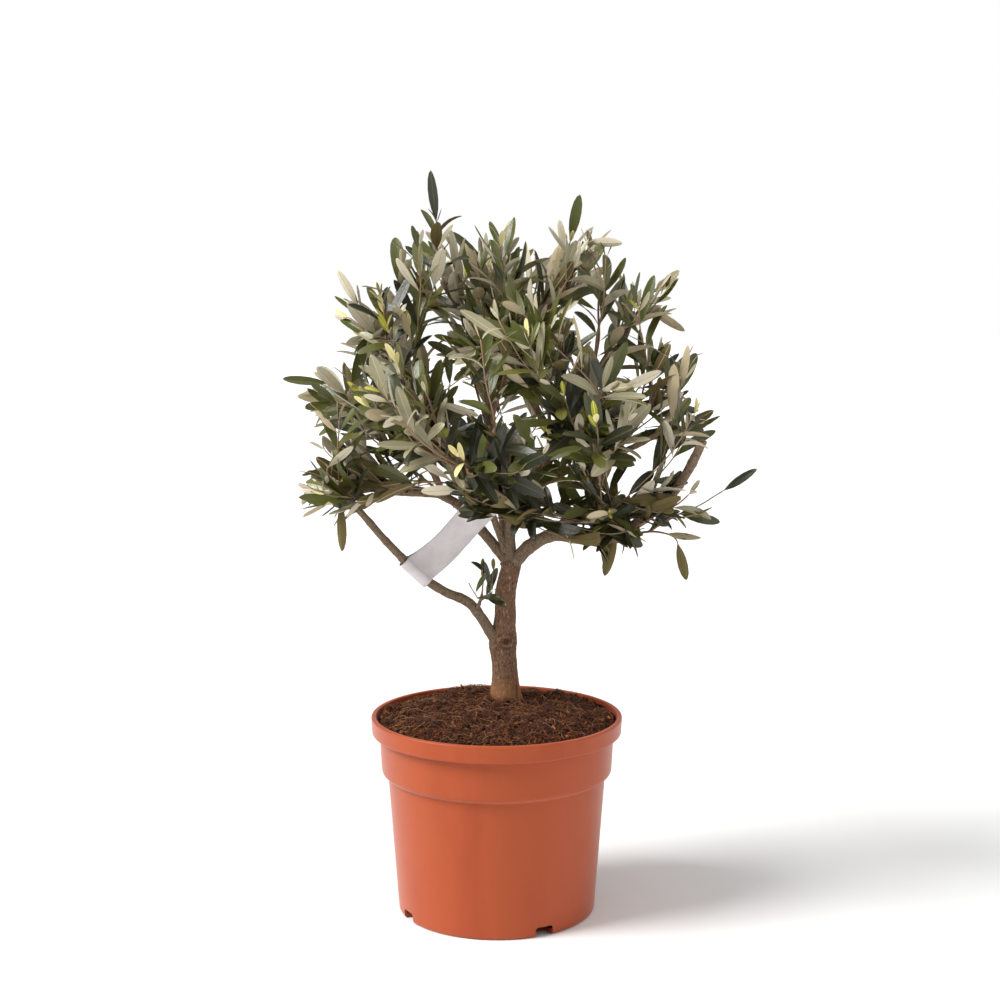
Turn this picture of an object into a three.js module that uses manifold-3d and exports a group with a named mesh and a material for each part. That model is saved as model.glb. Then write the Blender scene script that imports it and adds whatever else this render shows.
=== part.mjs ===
// Young standard olive tree in a round plastic nursery pot.
// Millimetres, +Z up, origin at the middle of the pot's flat underside, front of the tree towards -Y.
import * as THREE from 'three';
import { mergeVertices } from 'three/addons/utils/BufferGeometryUtils.js';
import Module from 'manifold-3d';

const wasm = await Module();
wasm.setup();

// Clearances between touching solids, and the wider air gap between two masses of foliage.
const FIT_GAP = 0.3;
const AIR_GAP = 1.5;

// Pot: tapered body, upright collar and a thick rim band.
const POT_HEIGHT = 174.4;
const RIM_RADIUS = 110;
const RIM_BAND_HEIGHT = 15.2;
const RIM_TOP_WIDTH = 4.6;
const RIM_EDGE = 1.5;
const COLLAR_TOP_RADIUS = 102.7;
const COLLAR_FOOT_RADIUS = 101;
const COLLAR_FOOT = 123.4;
const COLLAR_EDGE = 2;
const BODY_TOP_RADIUS = 95.5;
const BASE_RADIUS = 87.4;
const BASE_EDGE = 3;
const WALL = 2.4;
const POT_SIDES = 30;

// Four drainage notches in the foot of the pot.
const NOTCH_COUNT = 4;
const NOTCH_WIDTH = 17;
const NOTCH_HEIGHT = 9;
const NOTCH_DEPTH = 14;
const NOTCH_FIRST_ANGLE = -62;

// Mounded compost: its edge lies below the rim and its flat crown a little above it.
const SOIL_EDGE_DROP = 6;
const SOIL_TOP = 183;
const SOIL_TOP_RADIUS = 42;
const SOIL_SHOULDER_RADIUS = 76;
const SOIL_SHOULDER_DROP = 5;

// Limbs are round tubes bent along smooth curves.
const TRUNK_SIDES = 12;
const BOUGH_SIDES = 5;
const TRUNK_STEP = 10;
const BOUGH_STEP = 26;
const FLARE_HEIGHT = 12;
const FLARE_SPREAD = 0.34;
const FLARE_TOES = 5;
const FLARE_TOE_DEPTH = 0.09;
const KNOT_HEIGHT = 54;
const KNOT_SWELL = 0.2;
const KNOT_SPAN = 9;

// The tree's height, and how far its crown reaches left and right of the pot's axis.
const TREE_HEIGHT = 645;
const CROWN_LEFT = 189;
const CROWN_RIGHT = 224;

// Foliage masses are balls drawn out into seeded lobes.
const MASS_DETAIL = 2;
const COARSE_DETAIL = 1;
const LOBES = 9;
const LOBE_SHARPNESS = 7;
const LOBE_HEIGHT = 0.36;
const HOLLOW_DEPTH = 0.24;

// Blank paper label, folded round the lower left bough.
const LABEL_WIDTH = 29;
const LABEL_LENGTH = 89;
const LABEL_THICKNESS = 0.9;
const LABEL_LOOP_RADIUS = 6.4;
const LABEL_LOOP_WALL = 0.7;
const LABEL_CLOSES_AT = 14;
const LABEL_LOOP_HALF_MOUTH = 25;
const LABEL_BOUGH = 'lower_left_bough';
const LABEL_BOUGH_SHARE = 0.52;
const LABEL_RISE = 38;
const LABEL_BEARING = -5;

const LOOKS = {
  pot_plastic: { color: 0xb9653f, roughness: 0.55, metalness: 0 },
  compost: { color: 0x3b2a20, roughness: 1, metalness: 0 },
  bark: { color: 0x7d6a57, roughness: 0.9, metalness: 0 },
  foliage: { color: 0x5c6b45, roughness: 0.6, metalness: 0 },
  label_paper: { color: 0xe6dedb, roughness: 0.85, metalness: 0 },
};

// Limbs in growing order. A limb leaves the one named in from, at a share of its length. Some follow
// stretches, each a length and the angle it rises at, towards the bearing: 0 is right, 90 is back. An angle
// past 90 leans back over. The others bend evenly to the middle of the mass named in into, sagging a little.
const TRUNK = {
  name: 'trunk',
  foot: [8, 18, 170],
  bearing: 0,
  stretches: [[30, 90], [40, 92], [70, 85]],
  radii: [11.9, 8.2],
};
const BOUGHS = [
  {
    name: 'leader',
    from: 'trunk',
    at: 0.95,
    bearing: 5,
    stretches: [[40, 90], [25, 70], [30, 30], [30, 95], [15, 75]],
    radii: [5.4, 3.6],
  },
  {
    name: 'right_bough_inner',
    from: 'trunk',
    at: 0.95,
    bearing: -10,
    stretches: [[30, 45], [25, 20], [35, -10], [30, 25]],
    radii: [6.4, 4.7],
  },
  {
    name: 'right_bough_outer',
    from: 'right_bough_inner',
    at: 1,
    bearing: -5,
    stretches: [[40, 40], [30, 55], [30, 65]],
    radii: [4.7, 3.9],
  },
  {
    name: 'left_bough_inner',
    from: 'trunk',
    at: 0.95,
    bearing: 165,
    stretches: [[35, 50], [40, 45], [20, 25]],
    radii: [4.8, 3.8],
  },
  {
    name: 'left_bough_outer',
    from: 'left_bough_inner',
    at: 1,
    bearing: 180,
    stretches: [[35, 0], [25, 10], [35, 30]],
    radii: [3.8, 2.6],
    into: 'left_low',
  },
  {
    name: 'lower_left_bough',
    from: 'trunk',
    at: 0.45,
    bearing: 195,
    stretches: [[30, 45], [15, 65], [45, 30], [55, 45], [55, 50]],
    radii: [4.7, 2.8],
    into: 'left_low_front',
  },
  { name: 'back_bough', from: 'trunk', at: 0.95, radii: [4.6, 3], into: 'back_low', sag: 10 },
  {
    name: 'left_stem',
    from: 'trunk',
    at: 0.98,
    bearing: 10,
    stretches: [[55, 110], [120, 92], [70, 115]],
    radii: [3.2, 1.9],
    into: 'top_left',
  },
  { name: 'upper_right_limb', from: 'leader', at: 0.97, radii: [3.4, 2], into: 'top_right_outer', sag: 8 },
  {
    name: 'upper_middle_limb',
    from: 'leader',
    at: 0.97,
    bearing: -5,
    stretches: [[30, 120], [30, 110], [40, 85], [45, 30], [30, 40]],
    radii: [3.3, 1.9],
    into: 'top_right',
  },
  { name: 'top_limb', from: 'upper_middle_limb', at: 0.5, radii: [2.2, 1.8], into: 'top_middle', sag: 0 },
  { name: 'right_inner_limb', from: 'leader', at: 0.7, radii: [3.2, 2.2], into: 'right_mid', sag: 5 },
  {
    name: 'right_rising_limb', from: 'right_inner_limb', at: 0.45,
    radii: [2.5, 1.8], into: 'right_shoulder', sag: 5,
  },
  {
    name: 'left_rising_limb', from: 'left_bough_inner', at: 0.9,
    radii: [2.9, 1.9], into: 'left_shoulder', sag: 5,
  },
  { name: 'left_side_limb', from: 'left_rising_limb', at: 0.35, radii: [2.2, 1.7], into: 'left_mid', sag: 5 },
  { name: 'front_bough', from: 'leader', at: 0.3, radii: [3.8, 2.4], into: 'front_low', sag: 5 },
  { name: 'front_left_limb', from: 'front_bough', at: 0.45, radii: [2.6, 1.9], into: 'front_left', sag: 5 },
  { name: 'front_right_limb', from: 'leader', at: 0.8, radii: [2.8, 1.9], into: 'front_right', sag: 5 },
  { name: 'back_left_limb', from: 'back_bough', at: 0.6, radii: [2.8, 1.9], into: 'back_left', sag: 5 },
  { name: 'back_right_limb', from: 'back_bough', at: 0.45, radii: [2.8, 1.9], into: 'back_right', sag: 5 },
  { name: 'back_upper_limb', from: 'left_stem', at: 0.5, radii: [2.4, 1.8], into: 'back_top', sag: 10 },
  { name: 'side_shoot', from: 'lower_left_bough', at: 0.2, radii: [1.7, 1.3], into: 'low_tuft', sag: 0 },
];

// Each mass: middle, half widths along X, Y and Z, and its outermost leaf tips, each a bearing, a rise and
// a reach from the middle. A tip without a reach sets the tree's height or its crown's reach to one side.
// Coarse masses have fewer faces: they are small, or fill the middle where the others cut them back.
const MASSES = [
  { name: 'top_left', at: [-56, 8, 566], half: [44, 46, 46], tips: [[0, 90], [180, 35, 60]] },
  { name: 'top_middle', at: [14, 2, 566], half: [36, 44, 36], tips: [[180, 75, 45]] },
  { name: 'top_right', at: [82, 6, 566], half: [38, 44, 38], tips: [[180, 80, 60], [0, 65, 45]] },
  { name: 'top_right_outer', at: [128, 10, 531], half: [34, 44, 34], tips: [[0, 65, 35], [0, -35, 40]] },
  { name: 'left_shoulder', at: [-106, -2, 508], half: [40, 52, 38], tips: [[180, 60, 60]] },
  { name: 'right_shoulder', at: [148, 6, 474], half: [33, 48, 28], tips: [[0, -15, 35]] },
  { name: 'left_mid', at: [-134, 6, 444], half: [38, 54, 30], tips: [[180, 25, 55]] },
  { name: 'right_mid', at: [160, 2, 430], half: [32, 44, 25], tips: [[0, 0, 30]] },
  { name: 'left_low', at: [-152, 32, 390], half: [32, 44, 25], tips: [[180, 0], [180, -60, 40]] },
  { name: 'left_low_front', at: [-136, -34, 374], half: [34, 38, 32], tips: [[0, -85, 50]] },
  { name: 'right_low', at: [152, -8, 358], half: [34, 40, 27], tips: [[0, 25], [0, -80, 65]] },
  { name: 'right_underside', at: [78, -6, 356], half: [38, 46, 27], tips: [[0, -75, 60]], coarse: true },
  { name: 'heart_right', at: [72, -20, 424], half: [44, 48, 38], tips: [], coarse: true },
  { name: 'heart_left', at: [-58, -4, 424], half: [48, 50, 44], tips: [[180, -60, 55]], coarse: true },
  { name: 'heart_low', at: [-8, -34, 374], half: [50, 32, 27], tips: [], coarse: true },
  { name: 'heart_upper', at: [22, -22, 502], half: [68, 46, 36], tips: [], coarse: true },
  { name: 'front_low', at: [4, -108, 416], half: [52, 40, 34], tips: [[-85, -15, 50]] },
  { name: 'front_left', at: [-78, -96, 458], half: [44, 44, 42], tips: [[-110, 5, 55]] },
  { name: 'front_right', at: [86, -98, 456], half: [46, 44, 44], tips: [[-70, 15, 55]] },
  { name: 'front_top', at: [6, -88, 520], half: [50, 44, 40], tips: [[-90, 45, 55]] },
  { name: 'back_low', at: [-2, 122, 396], half: [54, 40, 34], tips: [[95, -15, 55]], coarse: true },
  { name: 'back_left', at: [-86, 104, 458], half: [46, 46, 44], tips: [[120, 5, 65]] },
  { name: 'back_right', at: [90, 108, 454], half: [46, 46, 44], tips: [[60, 0, 65]] },
  { name: 'back_middle', at: [2, 118, 478], half: [44, 44, 36], tips: [[85, 10, 60]], coarse: true },
  { name: 'back_top', at: [8, 84, 552], half: [52, 44, 38], tips: [[80, 65, 60]] },
  {
    name: 'low_tuft',
    at: [-10, -15, 291],
    half: [18, 10, 22],
    tips: [[180, -35, 45], [0, -45, 30]],
    coarse: true,
  },
];

const FIRST_SEED = 17;

// Shares of its length where a limb that bends evenly to its mass is worked out.
const BEND_STATIONS = [0, 0.33, 0.67, 1];

// A unit vector from a bearing round +Z and a rise above level, in degrees.
function towards(bearing, rise) {
  const turn = THREE.MathUtils.degToRad(bearing);
  const lift = THREE.MathUtils.degToRad(rise);
  return new THREE.Vector3(Math.cos(lift) * Math.cos(turn), Math.cos(lift) * Math.sin(turn), Math.sin(lift));
}

function massMiddle(name) {
  return new THREE.Vector3(...MASSES.find((mass) => mass.name === name).at);
}

// How far a tip without a reach lies from its mass's middle.
function reachToExtent(at, bearing, rise) {
  if (rise === 90) {
    return TREE_HEIGHT - at[2];
  }
  const way = towards(bearing, rise);
  const side = way.x < 0 ? -CROWN_LEFT : CROWN_RIGHT;
  return (side - at[0]) / way.x;
}

// A limb's curve from where it leaves its parent, by its stretches or in an even bend to its mass.
function limbCurve(row, start) {
  const points = [start];
  if (row.stretches) {
    for (const [length, rise] of row.stretches) {
      points.push(points.at(-1).clone().addScaledVector(towards(row.bearing, rise), length));
    }
    return new THREE.CatmullRomCurve3(points);
  }
  const goal = massMiddle(row.into);
  return new THREE.CatmullRomCurve3(BEND_STATIONS.map((share) => {
    const spot = start.clone().lerp(goal, share);
    spot.z -= row.sag * Math.sin(Math.PI * share);
    return spot;
  }));
}

TRUNK.curve = limbCurve(TRUNK, new THREE.Vector3(...TRUNK.foot));
const CURVES = { trunk: TRUNK.curve };
for (const row of BOUGHS) {
  row.curve = limbCurve(row, CURVES[row.from].getPointAt(row.at));
  CURVES[row.name] = row.curve;
}

// Repeatable numbers from 0 to 1.
function randomFrom(seed) {
  let state = seed;
  return () => {
    state = (state + 0x6d2b79f5) | 0;
    let mixed = Math.imul(state ^ (state >>> 15), 1 | state);
    mixed = (mixed + Math.imul(mixed ^ (mixed >>> 7), 61 | mixed)) ^ mixed;
    return ((mixed ^ (mixed >>> 14)) >>> 0) / 4294967296;
  };
}

function toSolid(geometry) {
  geometry.deleteAttribute('normal');
  geometry.deleteAttribute('uv');
  const merged = mergeVertices(geometry, 1e-4);
  const vertProperties = new Float32Array(merged.attributes.position.array);
  const triVerts = new Uint32Array(merged.index.array);
  return new wasm.Manifold(new wasm.Mesh({ numProp: 3, vertProperties, triVerts }));
}

function toMesh(name, solid, look) {
  const { vertProperties, triVerts } = solid.getMesh();
  const geometry = new THREE.BufferGeometry();
  geometry.setAttribute('position', new THREE.BufferAttribute(vertProperties, 3));
  geometry.setIndex(new THREE.BufferAttribute(triVerts, 1));
  geometry.computeVertexNormals();
  const mesh = new THREE.Mesh(geometry, new THREE.MeshStandardMaterial(LOOKS[look]));
  mesh.name = name;
  return mesh;
}

function largestPiece(solid) {
  const pieces = solid.decompose();
  return pieces.reduce((best, piece) => (piece.volume() > best.volume() ? piece : best));
}

// A profile of radius and height turned about the pot's axis, which is +Z.
function turned(profile) {
  const points = profile.map(([radius, height]) => new THREE.Vector2(radius, height));
  const geometry = new THREE.LatheGeometry(points, POT_SIDES);
  geometry.rotateX(Math.PI / 2);
  return toSolid(geometry);
}

function notch(index) {
  const box = new THREE.BoxGeometry(2 * NOTCH_DEPTH, NOTCH_WIDTH, 2 * NOTCH_HEIGHT);
  box.translate(BASE_RADIUS, 0, 0);
  box.rotateZ(THREE.MathUtils.degToRad(NOTCH_FIRST_ANGLE + (360 / NOTCH_COUNT) * index));
  return toSolid(box);
}

function pot() {
  const bandFoot = POT_HEIGHT - RIM_BAND_HEIGHT;
  const mouth = RIM_RADIUS - RIM_TOP_WIDTH;
  let shell = turned([
    [0, 0],
    [BASE_RADIUS - BASE_EDGE, 0],
    [BASE_RADIUS, BASE_EDGE],
    [BODY_TOP_RADIUS, COLLAR_FOOT - COLLAR_EDGE],
    [COLLAR_FOOT_RADIUS, COLLAR_FOOT + COLLAR_EDGE],
    [COLLAR_TOP_RADIUS, bandFoot],
    [RIM_RADIUS - RIM_EDGE, bandFoot],
    [RIM_RADIUS, bandFoot + RIM_EDGE],
    [RIM_RADIUS, POT_HEIGHT - RIM_EDGE],
    [RIM_RADIUS - RIM_EDGE, POT_HEIGHT],
    [mouth, POT_HEIGHT],
    [COLLAR_TOP_RADIUS - WALL, bandFoot],
    [COLLAR_FOOT_RADIUS - WALL, COLLAR_FOOT + COLLAR_EDGE],
    [BODY_TOP_RADIUS - WALL, COLLAR_FOOT - COLLAR_EDGE],
    [BASE_RADIUS - WALL, BASE_EDGE + WALL],
    [BASE_RADIUS - BASE_EDGE - WALL, WALL],
    [0, WALL],
  ]);
  for (let index = 0; index < NOTCH_COUNT; index += 1) {
    shell = shell.subtract(notch(index));
  }
  return shell;
}

function soil() {
  const bandFoot = POT_HEIGHT - RIM_BAND_HEIGHT;
  const inset = WALL + FIT_GAP;
  const edge = POT_HEIGHT - SOIL_EDGE_DROP;
  return turned([
    [0, inset],
    [BASE_RADIUS - BASE_EDGE - inset, inset],
    [BASE_RADIUS - inset, BASE_EDGE + inset],
    [BODY_TOP_RADIUS - inset, COLLAR_FOOT - COLLAR_EDGE],
    [COLLAR_FOOT_RADIUS - inset - FIT_GAP, COLLAR_FOOT + COLLAR_EDGE],
    [COLLAR_TOP_RADIUS - inset, bandFoot],
    [COLLAR_TOP_RADIUS - inset, edge],
    [SOIL_SHOULDER_RADIUS, SOIL_TOP - SOIL_SHOULDER_DROP],
    [SOIL_TOP_RADIUS, SOIL_TOP],
    [0, SOIL_TOP],
  ]);
}

// Bends a closed cylinder along the limb's curve. Its radius at share t of the length, turned by angle,
// is the limb's straight taper times swell(t, angle, length), with extra added all round.
function limb({ curve, radii }, sides, step, extra = 0, swell = () => 1) {
  const length = curve.getLength();
  const steps = Math.max(3, Math.round(length / step));
  const frames = curve.computeFrenetFrames(steps);
  const geometry = new THREE.CylinderGeometry(1, 1, 1, sides, steps);
  const position = geometry.attributes.position;
  const spot = new THREE.Vector3();
  for (let index = 0; index < position.count; index += 1) {
    const share = position.getY(index) + 0.5;
    const ring = Math.round(share * steps);
    const across = position.getX(index);
    const along = position.getZ(index);
    const taper = THREE.MathUtils.lerp(radii[0], radii[1], share);
    const radius = taper * swell(share, Math.atan2(along, across), length) + extra;
    spot.copy(curve.getPointAt(share));
    spot.addScaledVector(frames.binormals[ring], across * radius);
    spot.addScaledVector(frames.normals[ring], along * radius);
    position.setXYZ(index, spot.x, spot.y, spot.z);
  }
  return toSolid(geometry);
}

// The trunk spreads into a few toes at the ground and swells round an old pruning scar.
function trunkSwell(share, angle, length) {
  const height = share * length - (SOIL_TOP - TRUNK.foot[2]);
  const spread = Math.exp(-Math.max(height, 0) / FLARE_HEIGHT);
  const toes = 1 + FLARE_TOE_DEPTH * Math.cos(FLARE_TOES * angle);
  const knot = KNOT_SWELL * Math.exp(-(((height - KNOT_HEIGHT) / KNOT_SPAN) ** 2));
  return (1 + FLARE_SPREAD * spread * toes) * (1 + knot);
}

function trunk(extra = 0) {
  const ground = new THREE.BoxGeometry(80, 80, 80);
  ground.translate(TRUNK.foot[0], TRUNK.foot[1], SOIL_TOP + FIT_GAP - extra - 40);
  return limb(TRUNK, TRUNK_SIDES, TRUNK_STEP, extra, trunkSwell).subtract(toSolid(ground));
}

// Directions and heights of one mass's lobes and hollows, drawn in a fixed order from its seed.
function lobesOf(seed) {
  const random = randomFrom(seed);
  return Array.from({ length: LOBES }, (_, index) => {
    const height = random() * 2 - 1;
    const turn = random() * 2 * Math.PI;
    const flat = Math.sqrt(1 - height * height);
    const rise = index % 2 === 0 ? LOBE_HEIGHT : -HOLLOW_DEPTH;
    return {
      towards: new THREE.Vector3(flat * Math.cos(turn), flat * Math.sin(turn), height),
      rise: rise * (0.6 + 0.4 * random()),
    };
  });
}

// A ball stretched to the mass's half widths, pushed in and out by its lobes, with the corner that
// lies nearest to each outer leaf tip drawn out to that tip. extra thickens it all round.
function crownMass({ at, half, tips, coarse }, seed, extra = 0) {
  const geometry = new THREE.IcosahedronGeometry(1, coarse ? COARSE_DETAIL : MASS_DETAIL);
  const position = geometry.attributes.position;
  const lobes = lobesOf(seed);
  const size = new THREE.Vector3(...half);
  const corners = [];
  for (let index = 0; index < position.count; index += 1) {
    const direction = new THREE.Vector3().fromBufferAttribute(position, index).normalize();
    const reach = lobes.reduce((sum, { towards, rise }) => {
      return sum + rise * Math.exp(-LOBE_SHARPNESS * (1 - direction.dot(towards)));
    }, 1);
    const offset = direction.clone().multiply(size).multiplyScalar(reach);
    offset.setLength(offset.length() + extra);
    corners.push(offset);
  }
  for (const [bearing, rise, given] of tips) {
    const goal = towards(bearing, rise).multiplyScalar(given ?? reachToExtent(at, bearing, rise));
    const miss = corners.map((corner) => corner.angleTo(goal));
    const nearest = Math.min(...miss);
    corners.forEach((corner, index) => {
      if (miss[index] < nearest + 1e-4) {
        corner.copy(goal).setLength(goal.length() + extra);
      }
    });
  }
  corners.forEach((corner, index) => {
    position.setXYZ(index, corner.x + at[0], corner.y + at[1], corner.z + at[2]);
  });
  return toSolid(geometry);
}

// Turns the label's own axes, length, face and width, to where it hangs on the bough.
function labelPlace() {
  const bough = CURVES[LABEL_BOUGH];
  const width = bough.getTangentAt(LABEL_BOUGH_SHARE);
  const length = towards(LABEL_BEARING, LABEL_RISE);
  length.addScaledVector(width, -length.dot(width)).normalize();
  const face = new THREE.Vector3().crossVectors(width, length);
  return new THREE.Matrix4().makeBasis(length, face, width).setPosition(bough.getPointAt(LABEL_BOUGH_SHARE));
}

// A strip folded in two, open as a loop round the bough, and extruded across its width.
function label() {
  const half = LABEL_THICKNESS / 2;
  const mouth = THREE.MathUtils.degToRad(LABEL_LOOP_HALF_MOUTH);
  const outline = new THREE.Shape();
  outline.moveTo(LABEL_LENGTH, -half);
  outline.lineTo(LABEL_LENGTH, half);
  outline.lineTo(LABEL_CLOSES_AT, half);
  outline.absarc(0, 0, LABEL_LOOP_RADIUS, mouth, 2 * Math.PI - mouth, false);
  outline.lineTo(LABEL_CLOSES_AT, -half);
  outline.closePath();
  const loop = new THREE.Path();
  loop.absarc(0, 0, LABEL_LOOP_RADIUS - LABEL_LOOP_WALL, 0, 2 * Math.PI, true);
  outline.holes.push(loop);
  const geometry = new THREE.ExtrudeGeometry(outline, {
    depth: LABEL_WIDTH,
    bevelEnabled: false,
    curveSegments: 6,
  });
  geometry.translate(0, 0, -LABEL_WIDTH / 2);
  geometry.applyMatrix4(labelPlace());
  return toSolid(geometry);
}

// The room that foliage leaves free around the label's strip.
function labelRoom() {
  const side = 2 * LABEL_LOOP_RADIUS;
  const box = new THREE.BoxGeometry(LABEL_LENGTH + side, side, LABEL_WIDTH + 2 * AIR_GAP);
  box.translate(LABEL_LENGTH / 2, 0, 0);
  box.applyMatrix4(labelPlace());
  return toSolid(box);
}

// Boughs in growing order, each cut back from the limbs before it and from the mass it grows into.
function boughs() {
  const built = [];
  let grown = trunk(FIT_GAP);
  for (const row of BOUGHS) {
    let solid = limb(row, BOUGH_SIDES, BOUGH_STEP).subtract(grown);
    const end = MASSES.findIndex((mass) => mass.name === row.into);
    if (end >= 0) {
      solid = solid.subtract(crownMass(MASSES[end], FIRST_SEED + end, FIT_GAP));
    }
    built.push(toMesh(row.name, largestPiece(solid), 'bark'));
    grown = grown.add(limb(row, BOUGH_SIDES, BOUGH_STEP, FIT_GAP));
  }
  return built;
}

// Masses, each cut back from those before it and cut round the limbs that pass through it.
function masses() {
  const built = [];
  let taken = labelRoom();
  MASSES.forEach((mass, index) => {
    let solid = crownMass(mass, FIRST_SEED + index).subtract(taken).subtract(trunk(FIT_GAP));
    for (const row of BOUGHS) {
      if (row.into !== mass.name) {
        solid = solid.subtract(limb(row, BOUGH_SIDES, BOUGH_STEP, FIT_GAP));
      }
    }
    built.push(toMesh(`foliage_${mass.name}`, largestPiece(solid), 'foliage'));
    taken = taken.add(crownMass(mass, FIRST_SEED + index, AIR_GAP));
  });
  return built;
}

const tree = new THREE.Group();
tree.add(
  toMesh('pot', pot(), 'pot_plastic'),
  toMesh('soil', soil(), 'compost'),
  toMesh('trunk', trunk(), 'bark'),
  toMesh('label', label(), 'label_paper'),
  ...boughs(),
  ...masses(),
);

export default tree;
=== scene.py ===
import math

import bpy
import numpy as np
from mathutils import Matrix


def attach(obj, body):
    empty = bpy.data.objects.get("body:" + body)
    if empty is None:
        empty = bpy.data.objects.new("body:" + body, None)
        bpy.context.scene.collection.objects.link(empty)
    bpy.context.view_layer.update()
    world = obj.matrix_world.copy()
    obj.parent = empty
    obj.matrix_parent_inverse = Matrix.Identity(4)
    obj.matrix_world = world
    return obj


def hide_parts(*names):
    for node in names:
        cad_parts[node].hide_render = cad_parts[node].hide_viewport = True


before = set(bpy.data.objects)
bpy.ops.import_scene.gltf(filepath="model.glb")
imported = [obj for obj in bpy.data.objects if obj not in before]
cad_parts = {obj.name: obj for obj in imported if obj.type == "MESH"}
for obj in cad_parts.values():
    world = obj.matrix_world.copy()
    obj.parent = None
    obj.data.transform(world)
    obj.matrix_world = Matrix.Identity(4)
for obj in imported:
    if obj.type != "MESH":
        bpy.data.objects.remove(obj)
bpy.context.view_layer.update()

# Camera: a long lens a little above the middle of the tree, tipped slightly down towards the pot.
EYE = (0.0029, -1.5408, 0.5663)
LOOK_DOWN = 7.49
LENS = 64.7
SENSOR = 36.0

camera_data = bpy.data.cameras.new("camera")
camera_data.lens = LENS
camera_data.sensor_width = SENSOR
camera = bpy.data.objects.new("camera", camera_data)
camera.location = EYE
camera.rotation_euler = (math.radians(90 - LOOK_DOWN), 0, 0)
bpy.context.scene.collection.objects.link(camera)
bpy.context.scene.camera = camera


# Studio: a plain pale floor under an even white surround. A broad key light comes from the left, a weak
# one from the right, and a soft top light keeps the floor white.
def paint(red, green, blue):
    """A linear colour from screen values 0 to 255: ((v + 0.055) / 1.055) to the power 2.4, above v =
    0.04."""
    value = np.array([red, green, blue]) / 255
    linear = np.where(value <= 0.04045, value / 12.92, ((value + 0.055) / 1.055) ** 2.4)
    return (*linear.tolist(), 1.0)


def new_material(name, colour, roughness):
    """A material with one Principled shader. Returns it, its node tree and its shader."""
    material = bpy.data.materials.new(name)
    material.use_nodes = True
    tree = material.node_tree
    shader = tree.nodes["Principled BSDF"]
    shader.inputs["Base Color"].default_value = colour
    shader.inputs["Roughness"].default_value = roughness
    return material, tree, shader


def new_piece(name, points, corners, materials, slots=None, smooth=True):
    """Puts points and faces into a new mesh object. A face has four point numbers, the last -1 on a
    triangle."""
    used = corners >= 0
    sides = used.sum(axis=1)
    mesh = bpy.data.meshes.new(name)
    mesh.vertices.add(len(points))
    mesh.vertices.foreach_set("co", np.asarray(points, np.float32).ravel())
    mesh.loops.add(int(sides.sum()))
    mesh.loops.foreach_set("vertex_index", corners[used].astype(np.int32))
    mesh.polygons.add(len(corners))
    mesh.polygons.foreach_set("loop_start", (np.cumsum(sides) - sides).astype(np.int32))
    mesh.polygons.foreach_set("use_smooth", np.full(len(corners), smooth))
    if slots is not None:
        mesh.polygons.foreach_set("material_index", np.asarray(slots, np.int32))
    mesh.update(calc_edges=True)
    for material in materials:
        mesh.materials.append(material)
    piece = bpy.data.objects.new(name, mesh)
    bpy.context.scene.collection.objects.link(piece)
    return piece


FLOOR_HALF = 12.0
FLOOR_COLOUR = paint(247, 247, 246)
SURROUND = 0.3
# Each lamp: name, strength, angle it spreads over, and the turn of its rays about X and then Z, in degrees.
LAMPS = [
    ("key", 3.9, 30, 48, -72),
    ("fill", 0.7, 60, 62, 72),
    ("top", 0.6, 60, 8, 0),
]

floor_points = np.array([[-1, -1, 0], [1, -1, 0], [1, 1, 0], [-1, 1, 0]]) * FLOOR_HALF
floor_material = new_material("floor", FLOOR_COLOUR, 0.9)[0]
floor = new_piece("floor", floor_points, np.array([[0, 1, 2, 3]]), [floor_material])

for lamp_name, strength, spread, tip, turn in LAMPS:
    lamp_data = bpy.data.lights.new(lamp_name, "SUN")
    lamp_data.energy = strength
    lamp_data.angle = math.radians(spread)
    lamp = bpy.data.objects.new(lamp_name, lamp_data)
    lamp.rotation_euler = (math.radians(tip), 0, math.radians(turn))
    bpy.context.scene.collection.objects.link(lamp)

world = bpy.data.worlds.new("surround")
world.use_nodes = True
world_nodes, world_links = world.node_tree.nodes, world.node_tree.links
surround = world_nodes["Background"]
surround.inputs["Color"].default_value = (1, 1, 1, 1)
seen = world_nodes.new("ShaderNodeLightPath")
level = world_nodes.new("ShaderNodeMapRange")
level.inputs["To Min"].default_value = SURROUND
level.inputs["To Max"].default_value = 1.0
world_links.new(seen.outputs["Is Camera Ray"], level.inputs["Value"])
world_links.new(level.outputs["Result"], surround.inputs["Strength"])
bpy.context.scene.world = world
bpy.context.scene.view_settings.view_transform = "Standard"


# Pot: a round nursery pot of terracotta-coloured plastic, moulded in one piece. It has a tapered body, an
# upright collar that pots stack by and a thick rim band, and four drainage notches are cut in its foot.
POT_HEIGHT = 0.1744
RIM_RADIUS = 0.110
RIM_BAND_HEIGHT = 0.0152
RIM_TOP_WIDTH = 0.0046
COLLAR_TOP_RADIUS = 0.1027
COLLAR_FOOT_RADIUS = 0.101
COLLAR_FOOT = 0.1234
BODY_TOP_RADIUS = 0.0955
BASE_RADIUS = 0.0874
WALL = 0.0024
POT_SIDES = 240
POT_STEP = 0.005
NOTCH_COUNT = 4
NOTCH_WIDTH = 0.017
NOTCH_HEIGHT = 0.009
NOTCH_DEPTH = 0.014
NOTCH_CORNER = 0.003
NOTCH_FIRST_ANGLE = -62
TERRACOTTA = paint(168, 75, 37)
TERRACOTTA_DEEP = paint(158, 67, 31)
TERRACOTTA_SCUFFED = paint(182, 93, 58)


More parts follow.
